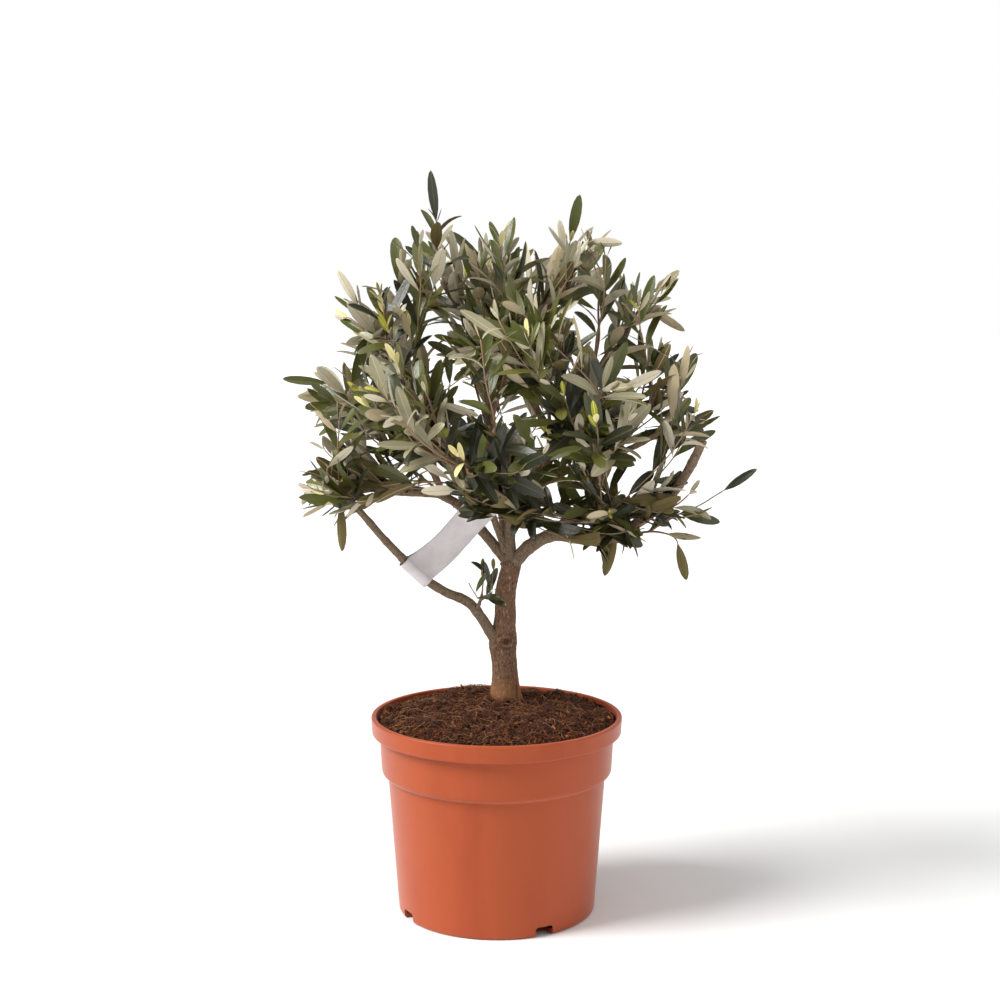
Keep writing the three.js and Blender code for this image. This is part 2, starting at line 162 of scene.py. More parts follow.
def rounded_outline(rows, steps=6):
    """An outline through rows of radius, height and edge. Each corner is the curve (1-t)² a + 2t(1-t)
    corner + t² b, where a and b lie edge away from the corner along its two sides."""
    rows = np.array(rows, float)
    spots, edges = rows[:, :2], rows[1:-1, 2:]
    before = spots[:-2] - spots[1:-1]
    after = spots[2:] - spots[1:-1]
    before = spots[1:-1] + edges * before / np.linalg.norm(before, axis=1, keepdims=True)
    after = spots[1:-1] + edges * after / np.linalg.norm(after, axis=1, keepdims=True)
    t = np.linspace(0, 1, steps)[:, None]
    curves = (1 - t) ** 2 * before[:, None] + 2 * t * (1 - t) * spots[1:-1, None] + t**2 * after[:, None]
    return np.vstack([spots[:1], curves.reshape(-1, 2), spots[-1:]])


def evenly_cut(outline, step):
    """The same outline with points added, so that no stretch of it is longer than step."""
    lengths = np.linalg.norm(np.diff(outline, axis=0), axis=1)
    along = np.concatenate([[0], np.cumsum(lengths)])
    added = np.linspace(0, along[-1], int(along[-1] / step))
    places = np.unique(np.concatenate([along, added]).round(6))
    return np.stack([np.interp(places, along, outline[:, axis]) for axis in (0, 1)], axis=1)


def ring_faces(rings, sides, first=0):
    """Quads between rings of points that follow one another: corner s of ring k joins s + 1 and ring k +
    1."""
    ring, side = np.meshgrid(np.arange(rings - 1), np.arange(sides), indexing="ij")
    near, far = first + ring * sides, first + (ring + 1) * sides
    across = (side + 1) % sides
    return np.stack([near + side, near + across, far + across, far + side], axis=-1).reshape(-1, 4)


def fan_faces(pole, first, sides, outward):
    """Triangles from a pole to the ring of points that starts at first."""
    side = np.arange(sides)
    across = (side + 1) % sides
    pair = (side, across) if outward else (across, side)
    return np.stack([np.full(sides, pole), first + pair[0], first + pair[1], np.full(sides, -1)], axis=1)


def turned(outline, sides):
    """The outline carried round the Z axis: x = r cos a, y = r sin a, z = h. Its first and last points
    are poles."""
    angle = 2 * np.pi * np.arange(sides) / sides
    radius, height = outline[1:-1, :1], outline[1:-1, 1:]
    rings = np.stack([radius * np.cos(angle), radius * np.sin(angle), height + 0 * angle], axis=-1)
    poles = np.array([[0, 0, outline[0, 1]], [0, 0, outline[-1, 1]]])
    points = np.vstack([rings.reshape(-1, 3), poles])
    count = len(outline) - 2
    last = (count - 1) * sides
    faces = [
        ring_faces(count, sides),
        fan_faces(count * sides, 0, sides, False),
        fan_faces(count * sides + 1, last, sides, True),
    ]
    return points, np.vstack(faces)


def notch_cutter(angle):
    """An arched bar pointing at the axis: a box whose two upper corners are quarter circles."""
    arc = np.linspace(0, np.pi / 2, 6)
    half, top = NOTCH_WIDTH / 2 - NOTCH_CORNER, NOTCH_HEIGHT - NOTCH_CORNER
    right = np.stack([half + NOTCH_CORNER * np.cos(arc), top + NOTCH_CORNER * np.sin(arc)], axis=1)
    left = right[::-1] * [-1, 1]
    foot = -NOTCH_HEIGHT
    outline = np.vstack([[[NOTCH_WIDTH / 2, foot]], right, left, [[-NOTCH_WIDTH / 2, foot]]])
    reach = np.array([BASE_RADIUS - NOTCH_DEPTH, BASE_RADIUS + NOTCH_DEPTH])
    count = len(outline)
    x = np.repeat(reach, count)
    y, z = np.tile(outline[:, 0], 2), np.tile(outline[:, 1], 2)
    turn = math.radians(angle)
    points = np.stack([
        x * math.cos(turn) - y * math.sin(turn),
        x * math.sin(turn) + y * math.cos(turn),
        z,
    ], axis=1)
    middles = np.array([points[:count].mean(axis=0), points[count:].mean(axis=0)])
    faces = [
        ring_faces(2, count),
        fan_faces(2 * count, 0, count, False),
        fan_faces(2 * count + 1, count, count, True),
    ]
    cutter = new_piece("cutter", np.vstack([points, middles]), np.vstack(faces), [])
    return cutter


def apply_modifiers(piece):
    """Makes the piece's modified shape its own mesh."""
    shape = bpy.data.meshes.new_from_object(piece.evaluated_get(bpy.context.evaluated_depsgraph_get()))
    piece.modifiers.clear()
    piece.data = shape


def new_grain():
    """Node group for any surface: small uneven patches that move its roughness and its height. Size is
    how many patches there are to a metre, and stretch draws them out along Z."""
    group = bpy.data.node_groups.new("grain", "ShaderNodeTree")
    for label, start in (("Size", 400.0), ("Stretch", 1.0), ("Smooth", 0.4), ("Rough", 0.6), ("Detail", 3.0)):
        socket = group.interface.new_socket(label, in_out="INPUT", socket_type="NodeSocketFloat")
        socket.default_value = start
    for label in ("Roughness", "Height"):
        group.interface.new_socket(label, in_out="OUTPUT", socket_type="NodeSocketFloat")
    given = group.nodes.new("NodeGroupInput")
    made = group.nodes.new("NodeGroupOutput")
    place = group.nodes.new("ShaderNodeTexCoord")
    shrink = group.nodes.new("ShaderNodeCombineXYZ")
    squeeze = group.nodes.new("ShaderNodeMath")
    squeeze.operation = "DIVIDE"
    squeeze.inputs[0].default_value = 1.0
    drawn = group.nodes.new("ShaderNodeVectorMath")
    drawn.operation = "MULTIPLY"
    patches = group.nodes.new("ShaderNodeTexNoise")
    spread = group.nodes.new("ShaderNodeMapRange")
    spread.inputs["From Min"].default_value = 0.3
    spread.inputs["From Max"].default_value = 0.7
    link = group.links.new
    shrink.inputs["X"].default_value = 1.0
    shrink.inputs["Y"].default_value = 1.0
    link(given.outputs["Stretch"], squeeze.inputs[1])
    link(squeeze.outputs[0], shrink.inputs["Z"])
    link(place.outputs["Object"], drawn.inputs[0])
    link(shrink.outputs[0], drawn.inputs[1])
    link(drawn.outputs[0], patches.inputs["Vector"])
    link(given.outputs["Size"], patches.inputs["Scale"])
    link(given.outputs["Detail"], patches.inputs["Detail"])
    link(patches.outputs["Fac"], spread.inputs["Value"])
    link(given.outputs["Smooth"], spread.inputs["To Min"])
    link(given.outputs["Rough"], spread.inputs["To Max"])
    link(spread.outputs["Result"], made.inputs["Roughness"])
    link(patches.outputs["Fac"], made.inputs["Height"])
    return group


grain = new_grain()


def add_grain(tree, shader, size, smooth, rough, depth, stretch=1.0, detail=3.0):
    """Places the grain group in a material. depth is the height of its bumps in metres."""
    node = tree.nodes.new("ShaderNodeGroup")
    node.node_tree = grain
    for label, value in (
        ("Size", size), ("Stretch", stretch), ("Smooth", smooth), ("Rough", rough), ("Detail", detail),
    ):
        node.inputs[label].default_value = value
    bump = tree.nodes.new("ShaderNodeBump")
    bump.inputs["Distance"].default_value = depth
    tree.links.new(node.outputs["Roughness"], shader.inputs["Roughness"])
    tree.links.new(node.outputs["Height"], bump.inputs["Height"])
    tree.links.new(bump.outputs["Normal"], shader.inputs["Normal"])
    return node, bump


def noise_colours(tree, shader, scale, stops, stretch=(1, 1, 1), detail=4.0, distortion=0.0):
    """Colours the surface by noise on object coordinates. stops are shares of the noise and their
    colours."""
    place = tree.nodes.new("ShaderNodeTexCoord")
    drawn = tree.nodes.new("ShaderNodeMapping")
    drawn.inputs["Scale"].default_value = stretch
    noise = tree.nodes.new("ShaderNodeTexNoise")
    noise.inputs["Scale"].default_value = scale
    noise.inputs["Detail"].default_value = detail
    noise.inputs["Distortion"].default_value = distortion
    ramp = tree.nodes.new("ShaderNodeValToRGB")
    ramp.color_ramp.elements[0].position, ramp.color_ramp.elements[0].color = stops[0]
    ramp.color_ramp.elements[1].position, ramp.color_ramp.elements[1].color = stops[-1]
    for position, colour in stops[1:-1]:
        ramp.color_ramp.elements.new(position).color = colour
    tree.links.new(place.outputs["Object"], drawn.inputs["Vector"])
    tree.links.new(drawn.outputs["Vector"], noise.inputs["Vector"])
    tree.links.new(noise.outputs["Fac"], ramp.inputs["Fac"])
    tree.links.new(ramp.outputs["Color"], shader.inputs["Base Color"])
    return ramp, place


band_foot = POT_HEIGHT - RIM_BAND_HEIGHT
mouth = RIM_RADIUS - RIM_TOP_WIDTH
pot_outline = rounded_outline([
    (0, 0.0012, 0),
    (0.070, 0.0012, 0.002),
    (0.072, 0, 0.0012),
    (BASE_RADIUS - 0.001, 0, 0.0034),
    (BODY_TOP_RADIUS, COLLAR_FOOT - 0.001, 0.0018),
    (COLLAR_FOOT_RADIUS - 0.0012, COLLAR_FOOT + 0.0006, 0.0016),
    (COLLAR_FOOT_RADIUS, COLLAR_FOOT + 0.003, 0.0014),
    (COLLAR_TOP_RADIUS, band_foot, 0.0011),
    (RIM_RADIUS - 0.0008, band_foot + 0.0002, 0.0014),
    (RIM_RADIUS, POT_HEIGHT, 0.0019),
    (mouth, POT_HEIGHT, 0.0014),
    (mouth - 0.0008, band_foot + 0.002, 0.002),
    (COLLAR_TOP_RADIUS - WALL, band_foot - 0.004, 0.002),
    (COLLAR_FOOT_RADIUS - WALL, COLLAR_FOOT + 0.002, 0.002),
    (BODY_TOP_RADIUS - WALL, COLLAR_FOOT - 0.003, 0.002),
    (BASE_RADIUS - WALL, WALL + 0.0012, 0.004),
    (0, WALL + 0.0012, 0),
])
pot = new_piece("nursery_pot", *turned(evenly_cut(pot_outline, POT_STEP), POT_SIDES), [])
for index in range(NOTCH_COUNT):
    cutter = notch_cutter(NOTCH_FIRST_ANGLE + index * 360 / NOTCH_COUNT)
    cut = pot.modifiers.new("notch", "BOOLEAN")
    cut.operation = "DIFFERENCE"
    cut.solver = "EXACT"
    cut.object = cutter
    apply_modifiers(pot)
    bpy.data.objects.remove(cutter)

pot_material, tree, shader = new_material("terracotta_plastic", TERRACOTTA, 0.5)
noise_colours(
    tree, shader, 26,
    [(0.25, TERRACOTTA_DEEP), (0.52, TERRACOTTA), (0.78, TERRACOTTA), (0.97, TERRACOTTA_SCUFFED)],
    stretch=(1, 1, 0.22), detail=6, distortion=0.4,
)
add_grain(tree, shader, 900, 0.34, 0.46, 0.00008, detail=5)
shader.inputs["Specular IOR Level"].default_value = 0.25
shader.inputs["Sheen Weight"].default_value = 0.22
shader.inputs["Sheen Roughness"].default_value = 0.4
pot.data.materials.append(pot_material)
pot.data.set_sharp_from_angle(angle=math.radians(38))
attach(pot, "root")
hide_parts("pot")


# Compost: dark peat and coir, mounded towards the trunk and level with the rim at its edge. It is one
# uneven body with loose crumbs, chips of bark and curled coir fibres lying on it.
SOIL_TOP = 0.183
SOIL_EDGE = POT_HEIGHT - 0.0045
SOIL_RADIUS = COLLAR_TOP_RADIUS + 0.0008
SOIL_RINGS = 118
SOIL_SIDES = 520
TRUNK_FOOT = (0.008, 0.018)
# Relief of the surface: size of the lumps and their height.
SOIL_LUMPS = [(0.019, 0.0026), (0.008, 0.0021), (0.0036, 0.0016), (0.0017, 0.0010)]
CRUMBS = 3800
CRUMB_SMALLEST = 0.0004
CRUMB_SPREAD = 0.0013
CHIPS = 150
FIBRES = 3000
FIBRE_POINTS = 9


def cloud(points, size, seed):
    """Smooth noise from -1 to 1: a random value at each corner of a cubic lattice, blended across each
    cell by 3t² - 2t³. size is the cell's side."""
    scaled = np.asarray(points, float) / size
    cell = np.floor(scaled).astype(np.int64)
    share = scaled - cell
    share = share * share * (3 - 2 * share)
    total = np.zeros(scaled.shape[:-1])
    for corner in np.ndindex(2, 2, 2):
        at = cell + corner
        mixed = at[..., 0] * 73856093 ^ at[..., 1] * 19349663 ^ at[..., 2] * 83492791 ^ seed * 26544357
        mixed = (mixed ^ (mixed >> 13)) * 1274126177
        value = ((mixed ^ (mixed >> 16)) & 0xFFFF) / 32767.5 - 1
        total += value * np.where(corner, share, 1 - share).prod(axis=-1)
    return total


def soil_height(x, y, finest=len(SOIL_LUMPS)):
    """Height of the compost: a mound that falls to the rim, with lumps of each size, and banked up at the
    trunk."""
    radius = np.hypot(x, y)
    mound = np.interp(radius, [0, 0.042, 0.076, SOIL_RADIUS], [SOIL_TOP, SOIL_TOP, 0.178, SOIL_EDGE])
    spots = np.stack([x, y, 0 * x], axis=-1)
    for seed, (size, height) in enumerate(SOIL_LUMPS[:finest]):
        mound = mound + height * cloud(spots, size, seed + 3)
    foot = np.hypot(x - TRUNK_FOOT[0], y - TRUNK_FOOT[1])
    bank = np.exp(-((foot / 0.019) ** 4))
    return mound * (1 - bank) + (SOIL_TOP + 0.0012 + 0.4 * (mound - SOIL_TOP)) * bank


def soil_body():
    """Rings of points in the disc, at soil_height, then down the inside of the pot to a flat foot."""
    angle = 2 * np.pi * np.arange(SOIL_SIDES) / SOIL_SIDES
    top = SOIL_RADIUS * np.arange(1, SOIL_RINGS + 1)[:, None] / SOIL_RINGS
    x, y = top * np.cos(angle), top * np.sin(angle)
    surface = np.stack([x, y, soil_height(x, y)], axis=-1)[::-1]
    inset = WALL + 0.0003
    wall = np.array([
        (0.05, inset + 0.0016),
        (BASE_RADIUS - inset - 0.005, inset + 0.0016),
        (BASE_RADIUS - inset - 0.001, inset + 0.006),
        (BODY_TOP_RADIUS - inset, COLLAR_FOOT - 0.004),
        (COLLAR_FOOT_RADIUS - inset - 0.0004, COLLAR_FOOT + 0.003),
        (COLLAR_TOP_RADIUS - inset - 0.0002, band_foot - 0.005),
        (COLLAR_TOP_RADIUS - inset + 0.0002, band_foot + 0.001),
    ])
    sides = np.stack([
        wall[:, :1] * np.cos(angle), wall[:, :1] * np.sin(angle), wall[:, 1:] + 0 * angle,
    ], axis=-1)
    rings = np.concatenate([sides, surface])
    middle = float(soil_height(np.array([0.0]), np.array([0.0]))[0])
    poles = np.array([[0, 0, wall[0, 1]], [0, 0, middle]])
    count = len(rings)
    faces = [
        ring_faces(count, SOIL_SIDES),
        fan_faces(count * SOIL_SIDES, 0, SOIL_SIDES, False),
        fan_faces(count * SOIL_SIDES + 1, (count - 1) * SOIL_SIDES, SOIL_SIDES, True),
    ]
    return np.vstack([rings.reshape(-1, 3), poles]), np.vstack(faces)


def unit(vectors):
    """The same directions, each one long."""
    return vectors / np.maximum(np.linalg.norm(vectors, axis=-1, keepdims=True), 1e-12)


def lumps(middles, sizes, random):
    """Uneven pebbles: the twelve corners of an icosahedron, each pushed in or out at random, stretched to
    the sizes along three axes and turned at random."""
    golden = (1 + 5**0.5) / 2
    corners = []
    for a in (-1, 1):
        for b in (-golden, golden):
            corners += [(0, a, b), (a, b, 0), (b, 0, a)]
    corners = unit(np.array(corners))
    near = np.linalg.norm(corners[:, None] - corners[None], axis=-1) < 1.1
    faces = [
        (a, b, c) for a in range(12) for b in range(a + 1, 12) for c in range(b + 1, 12)
        if near[a, b] and near[b, c] and near[a, c]
    ]
    outward = [
        np.dot(np.cross(corners[b] - corners[a], corners[c] - corners[a]), corners[a]) > 0
        for a, b, c in faces
    ]
    faces = np.array([face if out else face[::-1] for face, out in zip(faces, outward)])
    count = len(middles)
    shapes = corners[None] * random.uniform(0.72, 1.2, (count, 12, 1)) * sizes[:, None]
    first = unit(random.normal(size=(count, 3)))
    second = unit(np.cross(first, random.normal(size=(count, 3))))
    axes = np.stack([first, second, np.cross(first, second)], axis=1)
    points = middles[:, None] + np.einsum("nki,nij->nkj", shapes, axes)
    corners_of = faces[None] + 12 * np.arange(count)[:, None, None]
    corners_of = np.concatenate([corners_of, np.full((count, len(faces), 1), -1)], axis=-1)
    return points.reshape(-1, 3), corners_of.reshape(-1, 4)


def tubes(paths, radii, sides):
    """Round tubes carried along paths of equally many points. Point s of a ring is path + radius (cos a ·
    side + sin a · up), where side is square to the path and up to both, and each end closes on a
    point."""
    ahead = unit(np.gradient(paths, axis=1))
    least = np.eye(3)[np.abs(paths[:, -1] - paths[:, 0]).argmin(axis=1)][:, None]
    side = unit(least - ahead * (ahead * least).sum(axis=-1, keepdims=True))
    up = np.cross(ahead, side)
    angle = 2 * np.pi * np.arange(sides) / sides
    radii = radii[..., None] if radii.ndim == 2 else radii
    out = np.cos(angle)[:, None] * side[:, :, None] + np.sin(angle)[:, None] * up[:, :, None]
    rings = paths[:, :, None] + radii[..., None] * out
    count, steps = paths.shape[:2]
    points = np.concatenate([rings.reshape(count, -1, 3), paths[:, :1], paths[:, -1:]], axis=1)
    faces = np.vstack([
        ring_faces(steps, sides),
        fan_faces(steps * sides, 0, sides, False),
        fan_faces(steps * sides + 1, (steps - 1) * sides, sides, True),
    ])
    shift = points.shape[1] * np.arange(count)[:, None, None]
    joined = np.where(faces[None] < 0, -1, faces[None] + shift)
    return points.reshape(-1, 3), joined.reshape(-1, 4)


def scattered(count, random, reach=SOIL_RADIUS - 0.002):
    """Random spots spread evenly over the compost's disc."""
    radius = reach * np.sqrt(random.random(count))
    angle = 2 * np.pi * random.random(count)
    return radius * np.cos(angle), radius * np.sin(angle)


def soil_mix(name, colour, light, size):
    """Earth of one colour with lighter and darker specks."""
    material, tree, shader = new_material(name, colour, 0.95)
    dark = tuple(0.45 * part for part in colour[:3]) + (1.0,)
    noise_colours(tree, shader, size, [(0.3, dark), (0.5, colour), (0.72, light)], detail=6)
    add_grain(tree, shader, 1500, 0.85, 1.0, 0.0005, detail=6)
    shader.inputs["Specular IOR Level"].default_value = 0.15
    return material


soil_random = np.random.default_rng(11)
soil_material = soil_mix("peat", paint(54, 26, 13), paint(140, 80, 44), 420)
soil = new_piece("compost_body", *soil_body(), [soil_material])
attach(soil, "root")
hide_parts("soil")

CRUMB_COLOURS = [
    ("crumb_dark", (28, 14, 9)), ("crumb_brown", (84, 46, 27)), ("crumb_red", (112, 58, 30)),
    ("crumb_tan", (156, 102, 62)),
]
crumb_materials = []
for crumb_name, colour in CRUMB_COLOURS:
    crumb_material, tree, shader = new_material(crumb_name, paint(*colour), 0.95)
    add_grain(tree, shader, 2200, 0.85, 1.0, 0.0003)
    shader.inputs["Specular IOR Level"].default_value = 0.15
    crumb_materials.append(crumb_material)
x, y = scattered(CRUMBS + CHIPS, soil_random)
sizes = CRUMB_SMALLEST + (
    CRUMB_SPREAD * soil_random.random((CRUMBS + CHIPS, 1)) ** 3
    * soil_random.uniform(0.7, 1.3, (CRUMBS + CHIPS, 3))
)
sizes[CRUMBS:] = soil_random.uniform((0.002, 0.0009, 0.0004), (0.0052, 0.0018, 0.0008), (CHIPS, 3))
height = soil_height(x, y) + 0.25 * sizes.min(axis=1)
crumb_points, crumb_faces = lumps(np.stack([x, y, height], axis=1), sizes, soil_random)
crumb_slots = soil_random.choice(4, CRUMBS + CHIPS, p=[0.42, 0.3, 0.16, 0.12]).repeat(20)
crumbs = new_piece("compost_crumbs", crumb_points, crumb_faces, crumb_materials, crumb_slots, smooth=False)
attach(crumbs, "root")

FIBRE_COLOURS = [("coir_dark", (56, 30, 18)), ("coir_brown", (116, 70, 42)), ("coir_straw", (172, 124, 82))]
fibre_materials = []
for fibre_name, colour in FIBRE_COLOURS:
    fibre_material, tree, shader = new_material(fibre_name, paint(*colour), 0.8)
    add_grain(tree, shader, 1800, 0.7, 0.9, 0.0001)
    fibre_materials.append(fibre_material)
x, y = scattered(FIBRES, soil_random, SOIL_RADIUS - 0.008)
share = np.linspace(0, 1, FIBRE_POINTS)
fibre_length = soil_random.uniform(0.006, 0.024, (FIBRES, 1))
heading = soil_random.uniform(0, 2 * np.pi, (FIBRES, 1)) + soil_random.normal(0, 1.5, (FIBRES, 1)) * share
heading = heading + 0.5 * np.sin(soil_random.uniform(3, 9, (FIBRES, 1)) * share)
step = fibre_length / (FIBRE_POINTS - 1)
x = x[:, None] + np.cumsum(step * np.cos(heading), axis=1)
y = y[:, None] + np.cumsum(step * np.sin(heading), axis=1)
radius = np.hypot(x, y)
inward = np.minimum(1, (SOIL_RADIUS - 0.0015) / radius)
x, y = x * inward, y * inward
lift = soil_random.uniform(0.0002, 0.0034, (FIBRES, 1)) * np.sin(np.pi * share)
height = soil_height(x, y, 2) + 0.0007 + lift + soil_random.normal(0, 0.0004, (FIBRES, 1)) * share
fibre_radii = soil_random.uniform(0.00009, 0.00024, (FIBRES, 1)) * (1 - 0.6 * share**2)
fibre_points, fibre_faces = tubes(np.stack([x, y, height], axis=-1), fibre_radii, 3)
faces_each = len(fibre_faces) // FIBRES
fibre_slots = soil_random.choice(3, FIBRES, p=[0.4, 0.5, 0.1]).repeat(faces_each)
fibres = new_piece("compost_fibres", fibre_points, fibre_faces, fibre_materials, fibre_slots)
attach(fibres, "root")


# Trunk: one short olive stem with fine flaking bark. It spreads into toes at the compost, carries an old
# pruning scar at its front, a cleft at its right foot and a ridge where the lower left bough leaves it.
TRUNK_LEVELS = 6
TRUNK_SLICE = 0.009
TRUNK_RADII = (0.0119, 0.0082)
TRUNK_RINGS = 300
TRUNK_SIDES = 132
TRUNK_DOME = 0.006
FLARE_HEIGHT = 0.012
FLARE_SPREAD = 0.34
FLARE_TOES = 5
FLARE_TOE_DEPTH = 0.09
KNOT_HEIGHT = 0.054
KNOT_ANGLE = 278
KNOT_SWELL = 0.14
KNOT_SPAN = 0.009
KNOT_RING = 0.0042
KNOT_RING_HEIGHT = 0.0024
KNOT_RING_WIDTH = 0.0011
KNOT_PIT_DEPTH = 0.0030
KNOT_PIT_WIDTH = 0.0021
KNOT_FURROW = 1.55 * KNOT_RING
KNOT_FURROW_DEPTH = 0.0012
KNOT_FURROW_WIDTH = 0.0010
CLEFT_ANGLE = 312
CLEFT_HEIGHT = 0.020
RIDGE_HEIGHT = 0.047
RIDGE_ANGLE = 195
BARK_DARK = paint(60, 42, 30)
BARK_GREY = paint(118, 88, 68)
BARK_LIGHT = paint(176, 152, 130)
# The lighter, warmer colour painted on the trunk's foot, so that the bark above it reads darker as painted
# shade from the crown.
BARK_FOOT_LIGHT = paint(166, 110, 64)
# Painted shade in the pruning scar's pit: its dark colour, the radius of the dark disc and its soft edge.
PIT_SHADE_COLOUR = paint(44, 30, 22)
PIT_SHADE_RADIUS = 0.0014
PIT_SHADE_SOFTNESS = 0.0016


def bough_line(points, count):
    """A smooth curve through the points, cut evenly. Between two points it is the cubic whose end slopes
    come from the centripetal rule: gaps in t are the square roots of the gaps between points."""
    points = np.array(points, float)
    ends = np.vstack([2 * points[0] - points[1], points, 2 * points[-1] - points[-2]])
    p0, p1, p2, p3 = ends[:-3], ends[1:-2], ends[2:-1], ends[3:]
    gap = [np.linalg.norm(b - a, axis=1, keepdims=True) ** 0.5 for a, b in ((p0, p1), (p1, p2), (p2, p3))]
    slope1 = gap[1] * ((p1 - p0) / gap[0] - (p2 - p0) / (gap[0] + gap[1]) + (p2 - p1) / gap[1])
    slope2 = gap[1] * ((p2 - p1) / gap[1] - (p3 - p1) / (gap[1] + gap[2]) + (p3 - p2) / gap[2])
    t = np.linspace(0, 1, 60, endpoint=False)[:, None]
    fine = (
        p1[:, None] + slope1[:, None] * t
        + (3 * (p2 - p1) - 2 * slope1 - slope2)[:, None] * t**2
        + (2 * (p1 - p2) + slope1 + slope2)[:, None] * t**3
    )
    fine = np.vstack([fine.reshape(-1, 3), points[-1:]])
    along = np.concatenate([[0], np.cumsum(np.linalg.norm(np.diff(fine, axis=0), axis=1))])
    places = np.linspace(0, along[-1], count)
    return np.stack([np.interp(places, along, fine[:, axis]) for axis in range(3)], axis=1), places


def corners_of_node(node):
    """The corners of one of the frame's solids, each once."""
    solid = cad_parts[node].data
    places = np.zeros(3 * len(solid.vertices))
    solid.vertices.foreach_get("co", places)
    return np.unique(places.reshape(-1, 3).round(5), axis=0)


def trunk_line():
    """The trunk's middle at even heights: the mean of its corners near each height. It starts under the
    compost."""
    corners = corners_of_node("trunk")
    low, high = corners[:, 2].min(), corners[:, 2].max()
    middles = [
        np.append(corners[abs(corners[:, 2] - height) < TRUNK_SLICE, :2].mean(axis=0), height)
        for height in np.linspace(low + TRUNK_SLICE, high - TRUNK_SLICE, TRUNK_LEVELS)
    ]
    foot = np.append(middles[0][:2], low - 0.013)
    top = middles[-1] + TRUNK_SLICE * unit(middles[-1] - middles[-2])
    return np.array([foot, *middles, top])


def bark_relief(round_at, along, seed):
    """Bark on a limb that is unrolled to a sheet: long flakes, short cracks between them and fine
    specks."""
    sheet = np.stack([round_at, along, 0 * along], axis=-1)
    flakes = cloud(sheet * [1, 0.28, 1], 0.0024, seed)
    cracks = 1 - np.abs(cloud(sheet * [1, 0.34, 1], 0.0035, seed + 1))
    specks = cloud(sheet * [1, 0.5, 1], 0.0009, seed + 2)
    return 0.00030 * flakes - 0.00024 * cracks**6 + 0.00018 * specks


line, along = bough_line(trunk_line(), TRUNK_RINGS)
angle = 2 * np.pi * np.arange(TRUNK_SIDES) / TRUNK_SIDES
share = along / along[-1]
taper = TRUNK_RADII[0] + (TRUNK_RADII[1] - TRUNK_RADII[0]) * share
height = (line[:, 2] - SOIL_TOP)[:, None]
# The angles of the trunk's marks are turned about it from +X. Its rings start at +X or +Y, whichever it leans
# along least, as tubes() has it, so the marks are turned back by as much.
RING_START = 90 * abs(line[-1, :2] - line[0, :2]).argmin()
toes = 1 + FLARE_TOE_DEPTH * np.cos(FLARE_TOES * angle)
flare = 1 + FLARE_SPREAD * np.exp(-np.maximum(height, 0) / FLARE_HEIGHT) * toes
knot_bulge = 1 + KNOT_SWELL * np.exp(-(((height - KNOT_HEIGHT) / KNOT_SPAN) ** 2))
radii = taper[:, None] * flare * knot_bulge


def around(turn):
    """Distance round the trunk from the line at this angle, at each point of its rings."""
    miss = (angle - math.radians(turn - RING_START) + np.pi) % (2 * np.pi) - np.pi
    return miss * taper[:, None]


from_knot = np.hypot(around(KNOT_ANGLE) * 0.8, (height - KNOT_HEIGHT))
scar = (
    KNOT_RING_HEIGHT * np.exp(-(((from_knot - KNOT_RING) / KNOT_RING_WIDTH) ** 2))
    - KNOT_PIT_DEPTH * np.exp(-((from_knot / KNOT_PIT_WIDTH) ** 2))
)
scar -= KNOT_FURROW_DEPTH * np.exp(-(((from_knot - KNOT_FURROW) / KNOT_FURROW_WIDTH) ** 2))
crease_line = height - KNOT_HEIGHT + 0.002 + 0.5 * around(KNOT_ANGLE + 40)
crease = -0.0009 * np.exp(-((crease_line / 0.0011) ** 2)) * np.exp(-((around(KNOT_ANGLE + 40) / 0.005) ** 2))
cleft_line = around(CLEFT_ANGLE) - 0.12 * height
cleft = -0.0021 * np.exp(-((cleft_line / 0.0011) ** 2)) / (1 + np.exp((height - CLEFT_HEIGHT) / 0.002))
ridge_spot = np.hypot(around(RIDGE_ANGLE), (height - RIDGE_HEIGHT) * 0.6)
ridge = 0.0022 * np.exp(-((ridge_spot / 0.0065) ** 2))
column = np.stack([
    8 * np.cos(angle) + 0 * height,
    8 * np.sin(angle) + 0 * height,
    260 * height + 0 * angle,
], -1)
flutes = 0.0004 * cloud(column, 4, 9)
relief = bark_relief(angle * TRUNK_RADII[0] + 0 * height, height + 0 * angle, 21)
seam = np.minimum(angle, 2 * np.pi - angle) / 0.25
relief = relief * np.clip(seam, 0, 1)
closing = np.sqrt(np.clip(1 - ((along - along[-1] + TRUNK_DOME) / TRUNK_DOME).clip(0, 1) ** 2, 0.02, 1))
radii = (radii + scar + crease + cleft + ridge + flutes + relief) * closing[:, None]
kept = line[:, 2] >= SOIL_TOP + 0.0003
kept[np.argmax(kept) - 1] = True
trunk_points, trunk_faces = tubes(line[None, kept], radii[None, kept], TRUNK_SIDES)
trunk_points[:, 2] = np.maximum(trunk_points[:, 2], SOIL_TOP + 0.0003)


def bark_material(name, dark, grey, light, scale, stretch):
    """Bark: dark cracks, grey flakes and pale specks, drawn out along the limb."""
    material, tree, shader = new_material(name, grey, 0.85)
    ramp, place = noise_colours(
        tree, shader, scale, [(0.30, dark), (0.46, grey), (0.58, grey), (0.74, light)],
        (1, 1, stretch), detail=7,
    )
    add_grain(tree, shader, 1300, 0.75, 0.95, 0.0004, stretch=3.0, detail=6)
    shader.inputs["Specular IOR Level"].default_value = 0.25
    return material, tree, shader, ramp, place


